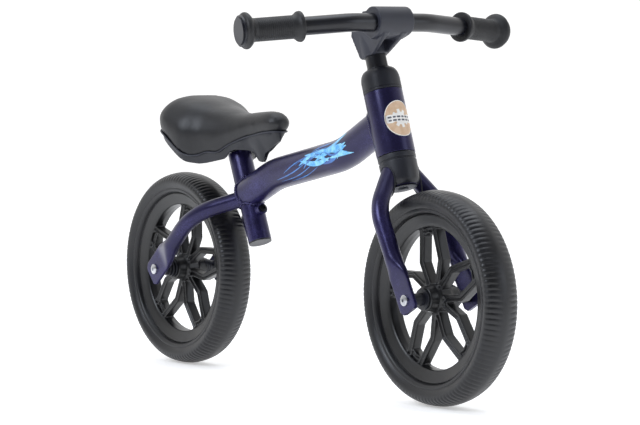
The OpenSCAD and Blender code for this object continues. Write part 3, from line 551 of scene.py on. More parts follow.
@dataclass
class Route:
    """The centre line of a bent tube: straight runs between corners, rounded by one bend radius."""

    corners: Points
    radius: float

    def line(self) -> Points:
        """Gives the rounded centre line as close points."""
        out = [self.corners[0]]
        for a, c, b in zip(self.corners[:-2], self.corners[1:-1], self.corners[2:]):
            u, v = unit(c - a), unit(b - c)
            turn = math.acos(float(np.clip(u @ v, -1, 1)))
            inward = unit(v - (u @ v) * u)
            first = c - self.radius * math.tan(turn / 2) * u
            for t in np.linspace(0, turn, 24):
                out.append(first + self.radius * (math.sin(t) * u + (1 - math.cos(t)) * inward))
        out.append(self.corners[-1])
        return np.array(out)

    def at(self, stations: Points) -> Points:
        """Gives the points at those distances along the line."""
        line = self.line()
        run = np.concatenate([[0], np.cumsum(np.linalg.norm(np.diff(line, axis=0), axis=1))])
        return np.stack([np.interp(stations, run, line[:, k]) for k in range(3)], 1)

    def length(self) -> float:
        """Gives the line's length."""
        return float(np.linalg.norm(np.diff(self.line(), axis=0), axis=1).sum())


def sweep_rings(line: Points, sections: Points, thick_way: Points) -> Points:
    """Carries sections along a line.

    Args:
        line: Points of the line, in order.
        sections: An outline for each point, as (point, corner, 2).
        thick_way: Direction that the outlines' second axis leans to.

    Returns:
        Rings of points as (point, corner, 3).
    """
    along = unit(np.gradient(line, axis=0))
    thick = unit(thick_way - (along @ thick_way)[:, None] * along)
    wide = np.cross(thick, along)
    return line[:, None] + sections[..., :1] * wide[:, None] + sections[..., 1:] * thick[:, None]


def lathe_rings(
    profile: Sequence[tuple[float, float]], foot: Points, axis: Points, ahead: Points, steps: int
) -> Points:
    """Turns a profile of (radius, height) round an axis.

    Args:
        profile: Radius and height along the axis of each ring.
        foot: The axis's zero point.
        axis: Its direction.
        ahead: A direction square to it.
        steps: Points in each ring.

    Returns:
        Rings of points.
    """
    a = np.linspace(0, 2 * np.pi, steps, endpoint=False)
    spoke = np.cos(a)[:, None] * ahead + np.sin(a)[:, None] * np.cross(axis, ahead)
    return np.array([foot + r * spoke + h * axis for r, h in profile])


def rounded(profile: Sequence[tuple[float, float, float]], steps: int = 5) \
        -> list[tuple[float, float]]:
    """Rounds the corners of a profile.

    Args:
        profile: (radius, height, corner rounding) of each corner.
        steps: Points in each rounded corner.

    Returns:
        The rounded profile as (radius, height).
    """
    out = []
    p = [np.array(q[:2], float) for q in profile]
    for i, (r, h, bend) in enumerate(profile):
        if bend <= 0 or i in (0, len(profile) - 1):
            out.append((r, h))
            continue
        back, on = p[i - 1] - p[i], p[i + 1] - p[i]
        take = min(bend, 0.48 * np.linalg.norm(back), 0.48 * np.linalg.norm(on))
        a, b = p[i] + take * unit(back), p[i] + take * unit(on)
        for t in np.linspace(0, 1, steps):
            q = (1 - t) ** 2 * a + 2 * t * (1 - t) * p[i] + t * t * b
            out.append((float(q[0]), float(q[1])))
    return out


def bead_on(name: str, loop: Points, outward: Points, radius: float, ripples: int) -> Object:
    """Lays a rippled weld bead along a closed line.

    Args:
        name: The piece's name.
        loop: Points of the line.
        outward: Direction away from the joint at each point.
        radius: The bead's mean radius.
        ripples: Number of ripples along it.

    Returns:
        The bead.
    """
    count = max(96, ripples * 4)
    own = np.linspace(0, 1, len(loop) + 1)
    wanted = np.linspace(0, 1, count, endpoint=False)
    line, out = (
        np.stack([np.interp(wanted, own, np.append(p[:, k], p[0, k])) for k in range(3)], 1)
        for p in (loop, outward)
    )
    out = unit(out)
    along = unit(np.roll(line, -1, 0) - np.roll(line, 1, 0))
    side = unit(np.cross(along, out))
    size = radius * (1 + 0.16 * np.sin(2 * np.pi * ripples * wanted))
    circle = oval(1, 1, 2, 10)[..., None]
    rings = line[:, None] + size[:, None, None] * (
        circle[:, 0] * side[:, None] + circle[:, 1] * out[:, None]
    )
    return skin(name, rings, loop=True, crease=60)


def weld_solids(name: str, solids: Sequence[Solid], voxel: float, soften: int) -> Object:
    """Joins overlapping closed solids into one moulding with soft inner corners.

    Args:
        name: The piece's name.
        solids: Points and faces of each solid.
        voxel: Cell size of the remesh, in millimetres.
        soften: Rounds of smoothing after it.

    Returns:
        The moulding.
    """
    points, faces, base = [], [], 0
    for p, f in solids:
        points.append(p)
        faces += [[base + i for i in face] for face in f]
        base += len(p)
    made = mesh_object(name, np.concatenate(points), faces)
    remesh = made.modifiers.new("join", "REMESH")
    remesh.mode = "VOXEL"
    remesh.voxel_size = voxel * MM
    soft = made.modifiers.new("soften", "SMOOTH")
    soft.factor = 0.5
    soft.iterations = soften
    apply_modifiers(made)
    shade(made, 60)
    return made


def apply_modifiers(piece: Object) -> None:
    """Replaces a piece's mesh with the one that its modifiers make."""
    graph = bpy.context.evaluated_depsgraph_get()
    done = bpy.data.meshes.new_from_object(piece.evaluated_get(graph))
    old = piece.data
    piece.modifiers.clear()
    piece.data = done
    done.name = piece.name
    bpy.data.meshes.remove(old)


def prism(outline: Points, low: float, high: float) -> Solid:
    """Raises a flat outline of (x, y) from low to high along z."""
    rings = np.stack([np.column_stack([outline, np.full(len(outline), z)]) for z in (low, high)])
    return rings.reshape(-1, 3), skin_faces(2, len(outline))


def turned(profile: Sequence[tuple[float, float]], steps: int, loop: bool = False) -> Solid:
    """Turns a profile round z, as a solid that other solids can join."""
    rings = lathe_rings(profile, np.zeros(3), UP, np.array([1.0, 0, 0]), steps)
    return rings.reshape(-1, 3), skin_faces(len(profile), steps, loop=loop)


def band(line: Points, width: float) -> Points:
    """Gives the outline of a strip of one width along a flat line, with mitred corners."""
    along = unit(np.diff(line, axis=0))
    side = np.stack([-along[:, 1], along[:, 0]], 1)
    corner = np.concatenate([side[:1], unit(side[:-1] + side[1:]), side[-1:]])
    stretch = np.concatenate([[1.0], 1 / np.maximum((corner[1:-1] * side[1:]).sum(1), 0.3), [1.0]])
    push = corner * stretch[:, None] * width / 2
    return np.concatenate([line + push, (line - push)[::-1]])


# ---- Where the CAD puts things ----


def corners_of(node: str) -> Points:
    """Gives a CAD node's corner points, in millimetres."""
    return np.array([v.co for v in frame["nodes"][node].data.vertices], float) / MM


def joint_named(name: str) -> dict:
    """Gives a joint of the record by its name."""
    return next(j for j in frame["joints"] if j["name"] == name)


@dataclass(frozen=True)
class Axis:
    """A leaning axis in the bike's centre plane, with x ahead of it, y to the left and z up it."""

    foot: Points
    up: Points

    @property
    def ahead(self) -> Points:
        """The direction square to the axis that points forward."""
        return np.array([self.up[2], 0.0, -self.up[0]])

    def place(self, local: Points) -> Points:
        """Takes points from this axis's frame to the row frame."""
        local = np.asarray(local, float)
        return self.foot + local[..., :1] * self.ahead + local[..., 1:2] * LEFT + local[...,
            2:3] * self.up

    def lathe(self, profile: Sequence[tuple[float, float]], steps: int) -> Points:
        """Turns a profile of (radius, height) round this axis."""
        return lathe_rings(profile, self.foot, self.up, self.ahead, steps)

    def cope(self, ring: Points, way: Points, radius: float, reach: float) -> Points:
        """Cuts a tube's end to fit against a cylinder round this axis.

        Args:
            ring: The tube's uncut end, inside the cylinder.
            way: The tube's direction there.
            radius: The cylinder's radius.
            reach: How far behind that end the cut may lie.

        Returns:
            The end, each point where it first meets the cylinder.
        """
        start = ring - way * reach
        rel = start - self.foot
        flat = rel - (rel @ self.up)[:, None] * self.up
        d = way - (way @ self.up) * self.up
        a, b, c = d @ d, flat @ d, (flat * flat).sum(1) - radius**2
        with np.errstate(invalid="ignore"):
            move = (-b - np.sqrt(b * b - a * c)) / a
        return start + np.where(np.isnan(move), reach, np.minimum(move, reach))[:, None] * way

    def span(self, node: str) -> tuple[Points, Points]:
        """Gives the lowest and highest corner of a CAD node in this axis's frame."""
        rel = corners_of(node) - self.foot
        own = np.stack([rel @ self.ahead, rel @ LEFT, rel @ self.up], 1)
        return own.min(0), own.max(0)


def centre_of(node: str) -> Points:
    """Gives the middle of a CAD node's box, in millimetres."""
    low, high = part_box(node)
    return np.array((low + high) / 2) / MM


STEER = Axis(
    np.array(joint_named("steering")["pos_m"]) / MM, unit(np.array(joint_named("steering")["axis"]))
)
SEAT_UP = unit(np.array(joint_named("saddle_height")["axis"]))


@dataclass
class FlatEnd:
    """How a tube's end is pressed flat around an axle."""

    wide: float
    thick: float = 4.5
    past_axle: float = 15.0
    flat_to: float = 26.0
    round_from: float = 60.0
    back_cut: float = 6.0
    front_cut: float = 4.0

    def sections(self, from_end: Points, tube_r: float, around: int = 64) -> Points:
        """Gives the tube's outline at those distances from its pressed end.

        Args:
            from_end: Distances from the pressed end.
            tube_r: The round tube's radius.
            around: Points in each outline.

        Returns:
            Outlines as (distance, corner, 2).
        """
        past = from_end - self.past_axle
        wide_share = 1 - smooth_step((past - self.flat_to) / (self.round_from - self.flat_to))
        thin_share = 1 - smooth_step((past - self.flat_to + 6) / (self.round_from - self.flat_to))
        out = []
        for e, w, t in zip(from_end, wide_share, thin_share):
            half_w = tube_r + (self.wide / 2 - tube_r) * w
            half_t = tube_r + (self.thick / 2 - tube_r) * t
            shape = oval(half_w, half_t, 2 + 7 * t**3, around)
            back = half_w - max(0.0, self.back_cut - e)
            front = half_w - max(0.0, self.front_cut - e)
            shape[:, 0] = np.clip(shape[:, 0], -back, front)
            out.append(shape)
        return np.array(out)


@dataclass
class TubeFrame:
    """The welded steel frame: main tube, head tube, seat tube and two stays."""

    shop: Workshop
    main_r: float = 20.0
    main_bend: float = 150.0
    main_low: tuple[float, float] = (62.8, 27.9)
    main_high: tuple[float, float] = (-88.6, -45.1)
    main_share: float = 0.58
    seat_up: float = 56.0
    stay_r: float = 10.5
    stay_bend: float = 100.0
    stay_slope: float = 41.0
    stay_reach: float = 118.0
    stay_y: float = 48.5
    stay_top_y: float = 9.0
    stay_top_drop: float = 6.0
    weld_r: float = 2.1
    seat: Axis = field(init=False)

    def __post_init__(self) -> None:
        """Finds the seat tube's axis from its CAD node."""
        cloud = corners_of("seat_tube")
        rise = cloud @ SEAT_UP
        top = cloud[rise > rise.max() - 0.5].mean(0)
        top[1] = 0
        self.seat = Axis(top - self.seat_up * SEAT_UP, SEAT_UP)

    def main_route(self) -> Route:
        """Gives the main tube's centre line, from the seat tube to the head tube."""
        low, high = STEER.span("head_tube")
        head = STEER.place([0, 0, low[2] + self.main_share * (high[2] - low[2])])
        corner_low = self.seat.foot + np.array([self.main_low[0], 0, self.main_low[1]])
        corner_high = head + np.array([self.main_high[0], 0, self.main_high[1]])
        return Route(np.array([self.seat.foot, corner_low, corner_high, head]), self.main_bend)

    def seat_r(self) -> float:
        """Gives the seat tube's outer radius."""
        return float(self.seat.span("seat_tube")[1][1])

    def head_r(self) -> float:
        """Gives the head tube's outer radius."""
        return float(STEER.span("head_tube")[1][1])

    def build(self) -> None:
        """Builds and dresses the whole frame."""
        self.head_tube()
        self.seat_tube()
        self.main_tube()
        for side in Side:
            self.stay(side)
        self.lock()

    def head_tube(self) -> None:
        """Builds the head tube with softly rounded ends."""
        low, high = STEER.span("head_tube")
        r, bore = self.head_r(), self.head_r() - 2.5
        profile = rounded(
            [(bore, low[2] + 3, 0), (bore, low[2], 0.6), (r, low[2], 0.8), (r, high[2], 0.8),
            (bore, high[2], 0.6),
             (bore, high[2] - 3, 0)]
        )
        rings = STEER.lathe(profile, 96)
        self.shop.dress(skin("head_tube_skin", rings, caps=False), VIOLET_PAINT, Body.FRAME,
        ["head_tube"])

    def seat_tube(self) -> None:
        """Builds the seat tube with a rounded mouth and its lower end."""
        low, high = self.seat.span("seat_tube")
        r, bore = self.seat_r(), self.seat_r() - 2.2
        profile = rounded([
            (bore, high[2] - 12, 0), (bore, high[2], 0.7), (r, high[2], 0.9), (r, low[2], 0.9),
            (bore, low[2], 0.7),
            (bore, low[2] + 6, 0)
        ])
        rings = self.seat.lathe(profile, 72)
        self.shop.dress(skin("seat_tube_skin", rings, caps=False), VIOLET_PAINT, Body.FRAME,
        ["seat_tube"])
        self.shop.dress_nodes(BLACK_COVER, "seat_tube_plug")

    def main_tube(self) -> None:
        """Builds the curved main tube, coped at both ends, and its two weld beads."""
        route = self.main_route()
        total = route.length()
        stations = np.concatenate([[0, 26], np.linspace(32, total - 62, 46), [total - 56, total]])
        line = route.at(stations)
        sections = np.repeat(oval(self.main_r, self.main_r, 2, 72)[None], len(line), 0)
        rings = sweep_rings(line, sections, LEFT)
        for at, way, axis, radius, word, ripples in (
            (0, unit(line[0] - line[1]), self.seat, self.seat_r(), "seat", 40),
            (-1, unit(line[-1] - line[-2]), STEER, self.head_r(), "head", 46),
        ):
            ring = axis.cope(rings[at], way, radius, 60)
            rings[at] = ring
            outward = unit(ring - (line[at] - 30 * way))
            bead = bead_on(f"main_tube_weld_{word}", ring, outward, self.weld_r, ripples)
            self.shop.dress(bead, VIOLET_PAINT, Body.FRAME)
        self.shop.dress(skin("main_tube_skin", rings), VIOLET_PAINT, Body.FRAME, ["main_tube"])

    def stay(self, side: Side) -> None:
        """Builds one stay, from its weld at the seat tube to its pressed dropout."""
        y = side.value
        axle = centre_of("rear_axle")
        slope = math.radians(self.stay_slope)
        way = np.array([math.cos(slope), 0, math.sin(slope)])
        drop = axle + y * self.stay_y * LEFT
        ends = FlatEnd(wide=34)
        top = self.seat.foot + np.array([0, y * self.stay_top_y, -self.stay_top_drop])
        corners = np.array([drop - ends.past_axle * way, drop + self.stay_reach * way, top])
        route = Route(corners, self.stay_bend)
        total = route.length()
        stations = np.concatenate([[0, 0.5, 2, 4, 6], np.linspace(9, total - 30, 64), [total]])
        line = route.at(stations)
        rings = sweep_rings(line, ends.sections(stations, self.stay_r), LEFT)
        last = unit(line[-1] - line[-2])
        ring = self.seat.cope(rings[-1], last, self.seat_r(), 40)
        rings[-1] = ring
        outward = unit(ring - (line[-1] - 22 * last))
        bead = bead_on(f"stay_weld_{side.word}", ring, outward, self.weld_r * 0.9, 26)
        self.shop.dress(bead, VIOLET_PAINT, Body.FRAME)
        tube = skin(f"stay_skin_{side.word}", rings)
        self.shop.dress(tube, VIOLET_PAINT, Body.FRAME, [f"stay_{side.word}"])

    def lock(self) -> None:
        """Dresses the saddle's lock boss and bolt."""
        self.shop.dress_nodes(VIOLET_PAINT, "seat_lock_boss")
        self.shop.dress_nodes(BLACK_OXIDE, "seat_lock_bolt")


@dataclass
class Graphics:
    """Plain printed shapes on the frame: a round badge and a few abstract strokes."""

    shop: Workshop
    tubes: TubeFrame
    lift: float = 0.12
    badge_wide: float = 20.5
    badge_high: float = 22.3

    def build(self) -> None:
        """Builds the badge and the strokes."""
        self.badge()
        self.strokes()

    def patch(self, name: str, outline: Points, place: Callable[[Points], Points],
        finish: Finish) -> Object:
        """Lays a flat outline on a curved surface.

        Args:
            name: The piece's name.
            outline: Points of the outline, as (across, along).
            place: Takes such points onto the surface.
            finish: The ink.

        Returns:
            The dressed patch.
        """
        middle = outline.mean(0)
        rings = np.array([place(middle + (outline - middle) * s)
            for s in (1.0, 0.8, 0.6, 0.4, 0.2, 0.02)])
        made = skin(name, rings)
        return self.shop.dress(made, finish, Body.FRAME)

    def badge(self) -> None:
        """Lays the sand badge with a white band and plain grey dashes on the head tube."""
        low, high = STEER.span("head_tube")
        middle = (low[2] + high[2]) / 2

        def on_head(layer: float) -> Callable[[Points], Points]:
            """Gives the head tube's surface at one layer of print."""
            r = self.tubes.head_r() + self.lift * (1 + layer)

            def place(flat: Points) -> Points:
                a = flat[:, 0] / r
                return STEER.place(np.stack([r * np.cos(a), r * np.sin(a), middle + flat[:, 1]], 1))

            return place

        a = np.linspace(0, 2 * np.pi, 72, endpoint=False)
        disc = np.stack([np.cos(a), np.sin(a)], 1)
        size = np.array([self.badge_wide, self.badge_high])
        self.patch("badge_rim", disc * size, on_head(0), WHITE_INK)
        self.patch("badge_disc", disc * (size - 0.9), on_head(0.5), SAND_INK)
        star = disc * np.where(np.arange(72) % 9 < 4.5, 11.5, 8.0)[:, None]
        self.patch("badge_burst", star, on_head(1.0), WHITE_INK)
        self.patch("badge_band", oval(self.badge_wide - 1.6, 5.2, 9, 48), on_head(1.3), WHITE_INK)
        for row, z in enumerate((2.0, -2.0)):
            for k in range(6):
                dash = oval(2.4 - 0.5 * ((k + row) % 2), 1.1, 4, 24) + [-14.2 + 5.7 * k, z]
                self.patch(f"badge_dash_{row}_{k}", dash, on_head(1.8), GREY_INK)

    def strokes(self) -> None:
        """Lays a plume of plain swept strokes along the right side of the main tube."""
        route = self.tubes.main_route()
        total = route.length()
        r = self.tubes.main_r + self.lift

        def on_main(layer: float) -> Callable[[Points], Points]:
            """Gives the main tube's surface at one layer of print."""

            def place(flat: Points) -> Points:
                line = route.at(np.clip(flat[:, 0], 0, total))
                along = unit(route.at(flat[:, 0] + 1) - route.at(flat[:, 0] - 1))
                high = unit(np.cross(along, LEFT))
                high *= np.sign(high[:, 2:3])
                a = flat[:, 1] / r
                out = -np.cos(a)[:, None] * LEFT + np.sin(a)[:, None] * high
                return line + (r + layer * self.lift * 0.5) * out

            return place

        # Each stroke: start along the tube, length, height at its start and end, width, bow, ink
        plume = [
            (92, 82, -12, 3, 1.5, -3, DEEP_INK), (100, 84, -16, -2, 1.3, -4, DEEP_INK),
            (112, 62, -6, 8, 1.7, 2, DEEP_INK),
            (120, 66, -19, -9, 1.4, -3, DEEP_INK), (140, 70, 0, 12, 2.2, 3, DEEP_INK),
            (148, 58, -2, 9, 7.0, 4, SKY_INK), (152, 62, 3, -3, 6.4, -5, SKY_INK),
            (160, 54, 9, -8, 5.6, 4, SKY_INK),
            (156, 48, -7, 6, 5.0, 5, DEEP_INK), (186, 58, 7, 17, 5.4, -3, SKY_INK),
            (184, 60, -2, 4, 7.2, 4, SKY_INK),
            (192, 56, 10, -9, 5.6, 4, SKY_INK), (198, 50, -8, 4, 5.0, -4, DEEP_INK),
            (210, 44, 2, 14, 4.6, 3, SKY_INK),
            (214, 42, -4, -15, 4.8, 3, SKY_INK), (222, 30, 8, 2, 4.2, -3, SKY_INK),
            (226, 26, -9, -2, 3.6, 3, SKY_INK),
            (176, 40, 12, 16, 3.0, 2, DEEP_INK), (204, 36, 6, -2, 2.6, -4, DEEP_INK),
        ]
        for i, (start, length, low, high, width, bow, ink) in enumerate(plume):
            t = np.linspace(0, 1, 22)
            middle = np.stack([start + length * t,
                low + (high - low) * t + bow * np.sin(np.pi * t)], 1)
            thick = width / 2 * np.sin(np.pi * np.clip(t, 0.02, 0.98)) ** 0.7
            rings = np.array([
                on_main(i * 0.2)(np.array([[m[0] - 0.3 * h, m[1] - h], m,
                    [m[0] + 0.3 * h, m[1] + h]]))
                for m, h in zip(middle, thick)
            ])
            count = len(rings)
            faces = [[3 * k + j, 3 * k + j + 1, 3 * k + j + 4, 3 * k + j + 3]
                for k in range(count - 1) for j in (0, 1)]
            made = mesh_object(f"stroke_{i}", rings.reshape(-1, 3), faces)
            self.shop.dress(made, ink, Body.FRAME)


@dataclass
class Fork:
    """The fork: two bent legs, the crown's cover and washer, and the domed cap above the head tube."""

    shop: Workshop
    leg_r: float = 10.4
    leg_bend: float = 62.0
    leg_y: float = 47.0
    top_y: float = 8.0
    bend_below: float = 26.0
    top_above: float = 28.0
    bend_share: float = 0.22
    collar_r: float = 22.7

    def build(self) -> None:
        """Builds and dresses the fork."""
        for side in Side:
            self.leg(side)
        self.crown()
        self.dome()
        self.washer()
        self.shop.dress_nodes(VIOLET_PAINT, "fork_crown")

    def leg(self, side: Side) -> None:
        """Builds one leg, from inside the crown's cover to its pressed dropout, and its collar."""
        y = side.value
        crown = STEER.span("crown_cover")[0][2]
        axle = centre_of("front_axle") - STEER.foot
        offset = float(axle @ STEER.ahead)
        drop = np.array([offset, y * self.leg_y, float(axle @ STEER.up)])
        bend = np.array([self.bend_share * offset, y * self.leg_y, crown - self.bend_below])
        top = np.array([0, y * self.top_y, crown + self.top_above])
        ends = FlatEnd(wide=31)
        way = unit(bend - drop)
        corners = STEER.place(np.array([drop - ends.past_axle * way, bend, top]))
        route = Route(corners, self.leg_bend)
        total = route.length()
        stations = np.concatenate([[0, 0.5, 2, 4, 6], np.linspace(9, total, 72)])
        line = route.at(stations)
        rings = sweep_rings(line, ends.sections(stations, self.leg_r), LEFT)
        tube = skin(f"fork_leg_skin_{side.word}", rings)
        self.shop.dress(tube, VIOLET_PAINT, Body.FORK, [f"fork_leg_{side.word}"])
        last = unit(line[-1] - line[-2])
        round_leg = lathe_rings([(self.leg_r + 0.5, 0)], line[-1], -last,
            unit(np.cross(last, LEFT)), 60)[0]
        ring = STEER.cope(round_leg, last, self.collar_r, 70)
        collar = bead_on(f"crown_collar_{side.word}", ring, unit(ring - line[-1]), 1.0, 1)
        self.shop.dress(collar, BLACK_COVER, Body.FORK)

    def washer(self) -> None:
        """Builds the thin pressed washer under the crown and its low bolt head."""
        top = float(STEER.span("crown_plate")[1][2])
        profile = rounded([
            (0.01, top, 0), (16.5, top, 0.3), (17.5, top - 1.0, 0.4), (16.8, top - 1.5, 0.4),
            (6.6, top - 1.5, 0.2),
            (6.2, top - 3.0, 0.8), (0.01, top - 3.4, 0)
        ])
        rings = STEER.lathe(profile, 48)
        made = skin("crown_washer_skin", rings, caps=False)
        self.shop.dress(made, DULL_STEEL, Body.FORK, ["crown_plate", "crown_bolt"])

    def crown(self) -> None:
        """Builds the crown's cover with its ring groove and tapered foot."""
        low, high = STEER.span("crown_cover")
        r, s0, s1 = float(high[1]), float(low[2]), float(high[2])
        profile = rounded([
            (8, s0 + 0.4, 0), (r - 4.5, s0, 2.0), (r - 1.2, s0 + 6, 3.0), (r - 0.4, s0 + 16, 2.0),
            (r - 0.1, s1 - 8.6, 0.5),
            (r - 1.5, s1 - 7.9, 0.4), (r - 1.5, s1 - 6.6, 0.4), (r, s1 - 5.9, 0.5), (r, s1, 0.8),
            (r - 2.4, s1, 0.3),
            (r - 2.4, s1 - 3, 0), (8, s1 - 3, 0)
        ])
        rings = STEER.lathe(profile, 96)
        self.shop.dress(skin("crown_cover_skin", rings), BLACK_COVER, Body.FORK, ["crown_cover"])

    def dome(self) -> None:
        """Builds the domed cap, with a parting groove at its foot and a lip at the post."""
        low, high = STEER.span("dome_cap")
        r, s0, s1 = float(high[1]), float(low[2]), float(high[2])
        post_r = float(STEER.span("bar_post")[1][1])
        arc = [(math.cos(t), math.sin(t)) for t in np.linspace(0, math.pi / 2, 14)]
        shoulder = s0 + 0.46 * (s1 - s0)
        top_r, drop_h = post_r + 2.2, s1 - 1.6 - shoulder
        dome = [(top_r + (r - top_r) * c**0.9, shoulder + drop_h * s) for c, s in arc[:-1]]
        profile = (
            [(r - 6, s0, ), (r - 0.6, s0), (r, s0 + 0.6), (r, s0 + 2.4), (r - 0.5, s0 + 2.8),
            (r, s0 + 3.2)]
            + dome
            + [(top_r, s1 - 1.6), (top_r - 0.2, s1 - 0.3), (top_r - 0.8, s1), (post_r + 0.35, s1),
            (post_r + 0.35, s1 - 6)]
        )
        rings = STEER.lathe(profile, 96)
        self.shop.dress(skin("dome_cap_skin", rings, caps=False), BLACK_COVER, Body.FORK,
        ["dome_cap"])


@dataclass
class Bars:
    """The handlebar with its post, stem shell, grips and end caps."""

    shop: Workshop
    tube_r: float = 11.1
    bend: float = 90.0
    straight: float = 56.0
    sweep: float = 13.1
    drop: float = 4.3
    grip_len: float = 72.0
    grip_r: float = 14.0
    outer_r: float = 22.0
    inner_r: float = 18.5

    def build(self) -> None:
        """Builds and dresses everything that turns and slides with the bar."""
        self.bar()
        for side in Side:
            self.grip(side)
        self.stem()
        self.shop.dress_nodes(BAR_POWDER, "bar_post")
        self.shop.dress_nodes(BLACK_COVER, "bar_end_caps")

    @property
    def centre(self) -> Points:
        """The middle of the bar's straight part."""
        cloud = corners_of("handlebar")
        mid = cloud[np.abs(cloud[:, 1]) < self.straight * 0.9]
        return (mid.min(0) + mid.max(0)) / 2 * [1, 0, 1]

    def corners(self) -> Points:
        """Gives the four corner points of the bar's centre line, from right to left."""
        mid = self.centre
        s, d = math.radians(self.sweep), math.radians(self.drop)
        way = np.array([-math.sin(s) * math.cos(d), -math.cos(s) * math.cos(d), -math.sin(d)])
        half = float(np.abs(corners_of("handlebar")[:, 1]).max())
        right = mid - self.straight * LEFT
        end = right + (half - self.straight - 2.5) / math.cos(s) * way
        flip = np.array([1, -1, 1])
        return np.array([end, right, right * flip, end * flip])

    def bar(self) -> None:
        """Builds the bent bar tube."""
        route = Route(self.corners(), self.bend)
        line = route.at(np.linspace(0, route.length(), 90))
        sections = np.repeat(oval(self.tube_r, self.tube_r, 2, 48)[None], len(line), 0)
        rings = sweep_rings(line, sections, UP)
        self.shop.dress(skin("handlebar_skin", rings), BAR_POWDER, Body.BAR, ["handlebar"])

    def grip(self, side: Side) -> None:
        """Builds one grip: a thin inner flange, a ribbed barrel and a rounded outer bumper."""
        c = self.corners()
        end, corner = (c[0], c[1]) if side is Side.RIGHT else (c[3], c[2])
        out = unit(end - corner)
        ahead = unit(np.cross(out, UP))
        inner, outer, r = self.inner_r, self.outer_r, self.grip_r
        n = -self.grip_len
        profile = rounded([
            (self.tube_r - 0.6, n + 0.4, 0), (self.tube_r + 3.4, n - 0.2, 0.8),
            (inner - 0.6, n - 0.3, 1.2),
            (inner, n + 1.6, 1.4), (inner - 0.8, n + 4.6, 1.6), (r + 2.6, n + 5.6, 2.0),
            (r, n + 9.5, 3.0)
        ])
        ribs = np.arange(n + 12, -16, 2.4)
        for z in ribs:
            profile += [(r, z), (r, z + 1.3), (r - 0.35, z + 1.6), (r - 0.35, z + 2.1)]
        profile += rounded([
            (r, -14, 0), (r + 0.4, -10.5, 3.0), (outer - 3.2, -7.6, 3.5), (outer, -4.0, 3.2),
            (outer - 0.6, 0.2, 2.6), (outer - 4.5, 2.4, 2.4), (outer - 7.2, 3.0, 1.0),
            (outer - 7.6, 2.2, 0.6),
            (10.5, 2.6, 2.0), (0.5, 2.9, 0)
        ], 7)
        rings = lathe_rings(profile, end, out, ahead, 72)
        made = skin(f"grip_skin_{side.word}", rings)
        self.shop.dress(made, GRIP_RUBBER, Body.BAR, [f"grip_{side.word}"])

    def stem(self) -> None:
        """Builds the stem: a rounded clamp block, two side cheeks and the socket on the post."""
        low, high = STEER.span("stem_body")
        half = float(high[1])
        foot = float(low[2])
        rel = self.centre - STEER.foot
        bx, bz = float(rel @ STEER.ahead), float(rel @ STEER.up)
        a = np.linspace(-np.pi / 2 + 0.15, np.pi / 2 + 0.45, 22)
        front = np.stack([bx + 17.5 * np.cos(a), bz + 1.2 + 18.2 * np.sin(a)], 1)
        back = [[-15, 19.6], [-24, 12], [-26, 3], [-22, -5], [-12, -17]]
        block = np.concatenate([front, np.array([bx, bz]) + back])
        cheek = np.array([
            [-15, foot + 3], [-12, foot], [11, foot], [bx + 8, bz - 16.2], [bx + 12, bz - 4],
            [bx - 8, bz + 13],
            [-12, bz + 12], [-17, bz + 3]
        ])

        def across(outline: Points, y0: float, y1: float) -> Solid:
            """Raises an outline of the steering plane from y0 to y1."""
            narrow = 1 - 0.3 * smooth_step((bz - 12 - outline[:, 1]) / (bz - 12 - foot))
            rings = [np.column_stack([outline[:, 0], y * narrow, outline[:, 1]]) for y in (y0, y1)]
            return np.concatenate(rings), skin_faces(2, len(outline))

        socket = turned([(0.01, foot), (15.2, foot), (16.2, bz + 6), (0.01, bz + 6)], 48)
        solids = [
            across(block, -half, half),
            across(cheek, -half + 7.5, -half + 14.5),
            across(cheek, half - 14.5, half - 7.5),
            socket,
        ]
        made = weld_solids("stem_shell", [(STEER.place(p), f) for p, f in solids], 0.8, 7)
        self.shop.dress(made, STEM_NYLON, Body.BAR, ["stem_body", "stem_cap"])


